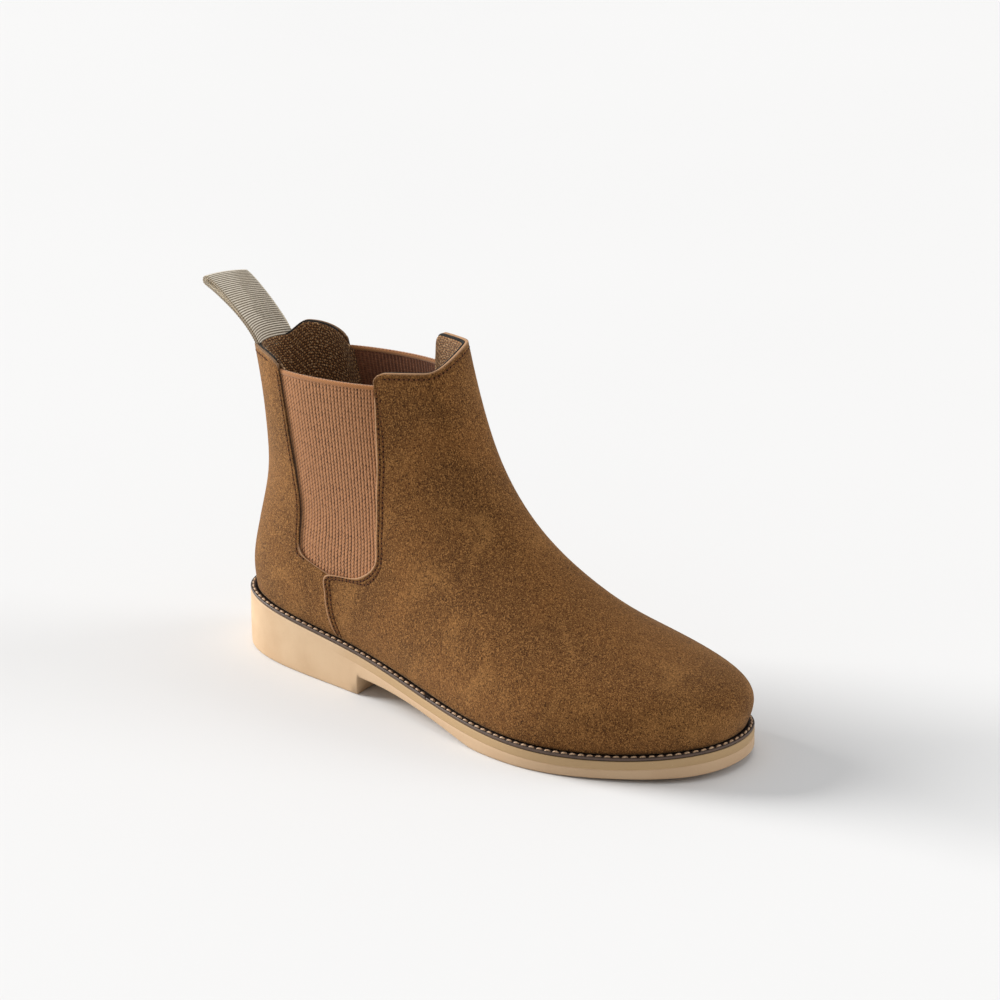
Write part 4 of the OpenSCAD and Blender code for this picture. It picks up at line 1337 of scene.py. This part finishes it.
# %% Stitches along the tabs, and the row that holds the loop
def topline(u, rise):
    """Places a set distance under the top edge of a tab."""
    v_top, step = lifted(GORE_TOP, rise(u)), 0.2
    tall = np.linalg.norm(skin(u, v_top) - skin(u, v_top - step), axis=-1)
    return u, v_top - step * TOPLINE_ROW / tall, -THREAD_SUNK


front_lines = [topline(np.linspace(4.86, AROUND - 4.86, 200), front_rise)]
made = suede_stitches("stitches_topline_front", front_lines, "topline_stitching_front")
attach(made, "boot")
report(made)

back_places = np.linspace(0.1, 1.95, 100)
back_lines = [topline(places, back_rise) for places in (back_places, AROUND - back_places)]
made = suede_stitches("stitches_topline_back", back_lines, "topline_stitching_back")
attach(made, "shaft_back")
report(made)

tail_line = [(np.linspace(0.12, 0.92, 40), np.full(40, BACK_TOP - 0.62), -TAIL_THREAD_SUNK)]
made = suede_stitches("stitches_pull_loop", tail_line + mirrored_lines(tail_line), "pull_loop_stitching")
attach(made, "shaft_back")
report(made)

# %% [markdown]
# ## Welt and its stitches
# The welt is a leather strip sewn round the edge of the upper; the sole is stitched and cemented to it. Its
# section is swept round the feather edge. It has a valley against the upper, a sunk channel where the
# stitches lie, and a thin rounded outer edge that is rubbed lighter. Its two ends meet on the outer side.

# %% Sweep round the feather edge
WELT_OUT, WELT_T = 3.4 * MM, 3.0 * MM
WELT_JOINT = 3.9
STITCH_OUT = 2.0 * MM


def out_of(u, e=0.05):
    """Level directions out of the feather edge."""
    along = skin(u + e, 0) - skin(u - e, 0)
    return unit(np.stack([along[..., 1], -along[..., 0], np.zeros_like(along[..., 0])], -1))


def edge_at(u, out, height):
    """Places round the feather edge, moved out and up."""
    u, out, height = np.broadcast_arrays(np.asarray(u, float), out, height)
    return skin(u, np.zeros_like(u)) + out_of(u) * out[..., None] + UP * height[..., None]


# (out, height, rubbed) from the inside of the top, round the outer edge, to the inside of the bottom
WELT_SECTION = np.array([
    (-7.0, -0.9, 0), (-2.0, -0.9, 0), (-0.6, -1.0, 0), (0.1, -0.75, 0), (0.75, -0.25, 0), (1.25, -0.12, 0),
    (1.5, -0.35, 0), (2.0, -0.5, 0), (2.5, -0.35, 0), (2.8, -0.14, 0), (3.15, -0.2, 0.2), (3.36, -0.5, 0.9),
    (3.42, -0.95, 1), (3.38, -1.4, 0.9), (3.2, -1.62, 0.2), (2.3, -1.7, 0), (2.2, -3.0, 0), (-7.0, -3.0, 0)])
# Two close rows at each end keep the cut ends square
end_rows = np.array([0.0015, 0.004])
even_rows = np.linspace(0.05, AROUND - 0.05, 260)
places = WELT_JOINT + np.concatenate([end_rows, even_rows, AROUND - end_rows[::-1]])
welt_points = edge_at(places[:, None], WELT_SECTION[None, :, 0] * MM, WELT_SECTION[None, :, 1] * MM)
welt = closed_sweep("welt_strip", welt_points, WELT_LEATHER)
store(welt, "rubbed", np.tile(WELT_SECTION[:, 2], len(places)))
welt.data.flip_normals()
subdivide(welt)
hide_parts("welt")
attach(welt, "boot")
report(welt)

welt_line = edge_at(WELT_JOINT + np.linspace(0.03, AROUND - 0.03, 700), STITCH_OUT, -0.12 * MM)
upwards = np.broadcast_to(UP, welt_line.shape)
welt_stitches = stitches("stitches_welt", [(welt_line, upwards)], WELT_THREAD, radius=0.55 * MM,
                         length=3.0 * MM, pitch=4.1 * MM, sink=0.5 * MM, slant=0.12, holes=False)
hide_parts("welt_stitching")
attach(welt_stitches, "boot")
report(welt_stitches)

# %% [markdown]
# ## Rubber sole
# The unit sole is moulded: heel and forepart in one, with a thin upper band and a wider lower band along
# the forepart, a step at the front of the heel and a patterned tread underneath. Sections go across the boot
# from edge to edge. Between the last heel section and the first forepart section the underside jumps up,
# and that makes the upright front of the heel. A low rim runs round the tread, and bars of their own fill it.

# %% Outsole
HEEL_LENGTH, NOTCH_H, TOE_SPRING = 94, 9.5, 3.5
ARCH_START, TREAD_START, TREAD_END, SOLE_END = 100, 178, 205, 290
TREAD_DEEP = 1.3


def underside(x, ahead):
    """Height of the sole's underside at x millimetres from the back of the last."""
    arch = NOTCH_H * (1 - np.clip((x - ARCH_START) / (TREAD_START - ARCH_START), 0, 1) ** 2) ** 1.15
    toe = TOE_SPRING * (np.clip(x - TREAD_END, 0, None) / (SOLE_END - TREAD_END)) ** 2
    return np.where(ahead, arch + toe, 0.0)


def from_heel(points):
    """Millimetres from the back of the last."""
    return points[..., 0] / MM + HEEL_CENTRE


def place_at(x):
    """The place on the outer side at x millimetres from the back of the last."""
    u = np.linspace(0.02, 7.98, 2000)
    return float(np.interp(x, from_heel(skin(u, 0 * u)), u))


def side_section(tall, fore):
    """The side's outline from the welt down to the tread rim, as (out, drop) in millimetres."""
    line, band = 0.28 * fore, 3.4
    return np.array([
        (-1.6, 0.0), (-1.05, -0.1), (-1.0, -1.2), (-0.3, -1.3), (-0.03, -1.1), (0.03, 0.0), (0.04, 1.4),
        (0.0, 2.75), (-line, 3.0), (-line, 3.2), (0.02, 3.45),
        (0.12, band + 0.35 * (tall - band)), (0.1, band + 0.7 * (tall - band)),
        (0.0, tall - 0.9), (-0.28, tall - 0.25), (-0.9, tall)])


def tread_shares(wide):
    """Where the tread's rim and its sunk field lie across a section of this width in millimetres."""
    rim, field = (0.12, 0.17) if wide < 30 else (4 / wide, 5 / wide)
    return np.array([rim, field, 0.5, 1 - field, 1 - rim])


def sole_sections():
    """Sections from heel to toe, with the drop and forepart values of their points."""
    breast = place_at(HEEL_LENGTH)
    heel = breast * (1 - np.cos(np.linspace(0, math.pi / 2, 28)))
    fore = breast + 0.004 + (FRONT - breast - 0.004) * np.sin(np.linspace(0, math.pi / 2, 74))
    sections, drops, fores = [], [], []
    for u, ahead in [(k, False) for k in heel] + [(k, True) for k in fore]:
        half, half_drop, half_fore = [], [], []
        for at in (u, AROUND - u):
            top = edge_at(at, WELT_OUT, -WELT_T - 0.2 * MM)
            x = float(from_heel(top))
            low = float(underside(np.array(x), ahead)) * MM
            tall = (top[2] - low) / MM
            forepart = float(ease((x - 70) / 50))
            outline = side_section(tall, forepart)
            half.append(top + out_of(np.array(at)) * (outline[:, :1] * MM) - UP * outline[:, 1:] * MM)
            half_drop.append(outline[:, 1])
            half_fore.append(np.full(len(outline), forepart))
        across = half[1][-1] - half[0][-1]
        wide = max(float(np.linalg.norm(across[:2])), 1e-9)
        x = float(from_heel(half[0][-1]))
        tread = float(ease((x - (HEEL_LENGTH + 40)) / 12)) if ahead else 1.0
        tread *= float(ease((wide / MM - 12) / 10))
        shares = tread_shares(wide / MM)
        deep = np.array([0, 1, 1, 1, 0]) * TREAD_DEEP * tread * MM
        bottom = half[0][-1] + across * shares[:, None] + UP * deep[:, None]
        sections.append(np.concatenate([half[0], bottom, half[1][::-1]]))
        drops.append(np.concatenate([half_drop[0], np.full(5, half_drop[0][-1]), half_drop[1][::-1]]))
        fores.append(np.concatenate([half_fore[0], np.full(5, half_fore[0][0]), half_fore[1][::-1]]))
    return np.array(sections), np.array(drops), np.array(fores), len(heel)


def merge_ends(obj, distance=0.00001):
    """At heel and toe the two sides of a section fall together; this joins them without a seam."""
    work = bmesh.new()
    work.from_mesh(obj.data)
    bmesh.ops.remove_doubles(work, verts=work.verts, dist=distance)
    bmesh.ops.dissolve_degenerate(work, edges=work.edges, dist=distance)
    work.to_mesh(obj.data)
    work.free()


sections, drops, fores, heel_count = sole_sections()
outsole = closed_sweep("outsole_rubber", sections, SOLE_RUBBER, caps=False)
store(outsole, "drop", drops)
store(outsole, "forepart", fores)
outsole.data.flip_normals()
# The two sections at the front of the heel keep sharp edges
crease = outsole.data.attributes.new("crease_edge", "FLOAT", "EDGE")
section_of = np.array([e.vertices[:] for e in outsole.data.edges]) // sections.shape[1]
at_breast = np.isin(section_of[:, 0], (heel_count - 1, heel_count)) & (section_of[:, 0] == section_of[:, 1])
crease.data.foreach_set("value", np.where(at_breast, 0.9, 0.0).astype(np.float32))
merge_ends(outsole)
subdivide(outsole)
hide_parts("outsole")
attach(outsole, "boot")
report(outsole)

# %% Tread bars
# In millimetres, as the sole's measures above
BAR_PITCH, BAR_HALF, BAR_IN, BAR_SHORTEST = 8.5, 2.1, 7.0, 14
BAR_ROUND, BAR_FLARE, BAR_ROOT = 0.35, 0.3, TREAD_DEEP + 0.6
BAR_WAVE, BAR_WAVE_LONG = 1.6, 21


def bar(x_middle, ahead):
    """One wavy bar across the tread, as closed sections from the outer to the inner side."""
    u = place_at(x_middle + HEEL_CENTRE)
    lat, med = edge_at(u, WELT_OUT, 0.0), edge_at(AROUND - u, WELT_OUT, 0.0)
    y0, y1 = lat[1] / MM + BAR_IN, med[1] / MM - BAR_IN
    if y1 - y0 < BAR_SHORTEST:
        return None
    y = np.linspace(y0, y1, 26)
    x = x_middle + BAR_WAVE * np.sin(2 * math.pi * y / BAR_WAVE_LONG)
    low = underside(x + HEEL_CENTRE, ahead)
    fore = [(BAR_HALF - BAR_ROUND, 0), (BAR_HALF, BAR_ROUND), (BAR_HALF + BAR_FLARE, BAR_ROOT)]
    rear = [(-dx, dz) for dx, dz in reversed(fore)]
    outline = rear[1:] + fore + rear[:1]
    return np.array([[(xx + dx, yy, zz + dz) for dx, dz in outline] for xx, yy, zz in zip(x, y, low)]) * MM


bars = [bar(x, False) for x in np.arange(-26, HEEL_LENGTH - HEEL_CENTRE - 6, BAR_PITCH)]
bars += [bar(x, True) for x in np.arange(104, SOLE_END - HEEL_CENTRE - 12, BAR_PITCH)]
bars = [b for b in bars if b is not None]
n, m = bars[0].shape[:2]
faces = []
for start in range(0, len(bars) * n * m, n * m):
    faces += grid_faces(n, m, start, closed=True) + end_caps(start, start + (n - 1) * m, m)
tread = add_object("outsole_tread_bars", np.concatenate(bars), faces, smooth=False)
tread.data.materials.append(SOLE_RUBBER)
# Every point of a bar counts as low down on the forepart, 9 mm under the welt
store(tread, "drop", np.full(len(tread.data.vertices), 9.0))
store(tread, "forepart", np.full(len(tread.data.vertices), 1.0))
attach(tread, "boot")
report(tread)

# %% [markdown]
# ## Footbed and heel pad
# The foot stands on a woven-covered sock with a thin foam heel pad. Both are soft, so they are rounded and a
# little dished.

# %% Soft insoles
UPPER_T = LINING_DEPTH + LINING


def inner_layer(name, inset, low, tall, first, last, n, dish):
    """A soft layer between two places round the feather edge, thicker at its rim."""
    at = first + (last - first) * (1 - np.cos(np.linspace(0, math.pi, n))) / 2
    top_rows, low_rows = [], []
    for u in at:
        a, b = edge_at(u, -inset, 0.0), edge_at(AROUND - u, -inset, 0.0)
        share = np.linspace(0, 1, 13)[:, None]
        line = a + (b - a) * share
        crown = (1 - (2 * share[:, 0] - 1) ** 2) * dish
        top_rows.append(line + UP * (low + tall - crown)[:, None])
        low_rows.append(line + UP * low)
    top, under = np.array(top_rows), np.array(low_rows)
    sections = np.concatenate([top, under[:, ::-1]], 1)
    made = closed_sweep(name, sections, FOOTBED_CLOTH, uv=sections[..., :2])
    made.data.flip_normals()
    bevel(made, 0.9 * MM, 3)
    subdivide(made)
    return made


footbed = inner_layer("footbed_sock", inset=UPPER_T + 1.0 * MM, low=2.7 * MM, tall=2.9 * MM,
                      first=0.25, last=FRONT - 0.3, n=44, dish=1.0 * MM)
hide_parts("footbed")
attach(footbed, "boot")
heel_pad = inner_layer("heel_pad_foam", inset=UPPER_T + 6 * MM, low=5.4 * MM, tall=2.3 * MM,
                       first=0.8, last=2.6, n=20, dish=0.8 * MM)
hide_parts("heel_pad")
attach(heel_pad, "boot")
report(footbed, heel_pad)

# %% [markdown]
# ## Carried-over parts
# Board, shank, filler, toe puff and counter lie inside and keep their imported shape. They only get finishes.

# %% Finishes for the carried-over parts
CARRIED = {"insole_board": BOARD, "shank": STEEL, "filler": CORK,
           "toe_puff": STIFFENER, "heel_counter": STIFFENER}
for node, material in CARRIED.items():
    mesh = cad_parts[node].data
    mesh.materials.clear()
    mesh.materials.append(material)
    print(node, "is", material.name)

# %% [markdown]
# ## Floor, light and camera
# A pale floor with no horizon, a large soft light from the heel's side, a weaker one from the toe's side and
# a bright surround: the light of a product table. Suede needs the low side light, because only light that
# grazes the fibres shows the nap.

# %% Stage and light
scene = bpy.context.scene
scene.view_settings.view_transform = "Standard"
FLOOR_HALF = 12
corners = [(x * FLOOR_HALF, y * FLOOR_HALF, 0) for x, y in ((-1, -1), (1, -1), (1, 1), (-1, 1))]
floor = add_object("studio_floor", corners, [(0, 1, 2, 3)], smooth=False)


def floor_paint(name):
    f = Finish(name, roughness=0.9, specular=0.1)
    clouds = f.range(f.noise(f.object_places(), 2, 2), 0.3, 0.7)
    return f.finish(f.mix(clouds, (0.745, 0.748, 0.753), (0.753, 0.756, 0.761)))


floor.data.materials.append(floor_paint("floor_paint"))

world = bpy.data.worlds.new("studio")
scene.world = world
world.use_nodes = True
world.node_tree.nodes["Background"].inputs["Color"].default_value = (1, 1, 1, 1)
world.node_tree.nodes["Background"].inputs["Strength"].default_value = 0.42


def facing(direction):
    """The turn that makes a light or a camera look along a direction."""
    return Vector(direction).to_track_quat("-Z", "Y").to_euler()


BOOT_MIDDLE = np.array((0.1, 0, 0.07))


def soft_light(name, place, power, softness, colour=(1, 1, 1)):
    """A far, wide light: even over the whole floor, with soft shadows."""
    data = bpy.data.lights.new(name, "SUN")
    data.energy, data.angle, data.color = power, math.radians(softness), colour
    made = bpy.data.objects.new(name, data)
    scene.collection.objects.link(made)
    made.location = place
    made.rotation_euler = facing(BOOT_MIDDLE - np.array(place))


soft_light("key_from_heel", (-1.6, -0.45, 0.85), 4.2, 26, (1, 0.985, 0.96))
soft_light("rim_from_toe", (1.3, 0.9, 0.8), 0.75, 30, (1, 0.99, 0.98))
soft_light("overhead", (0.05, 0.1, 1.6), 0.6, 45)

# %% Camera
AZIMUTH, ELEVATION, DISTANCE = math.radians(38.75), math.radians(20.5), 1.808
AIM = np.array([0.057, 0.07135, 0.0700])
level = math.cos(ELEVATION)
back = np.array([math.sin(AZIMUTH) * level, -math.cos(AZIMUTH) * level, math.sin(ELEVATION)])
camera_data = bpy.data.cameras.new("camera")
camera_data.lens = 129.0
camera_data.sensor_width = 36
camera_data.clip_end = 60
camera = bpy.data.objects.new("camera", camera_data)
scene.collection.objects.link(camera)
camera.location = AIM + back * DISTANCE
camera.rotation_euler = facing(-back)
scene.camera = camera
print("camera at", [round(float(c), 3) for c in camera.location])
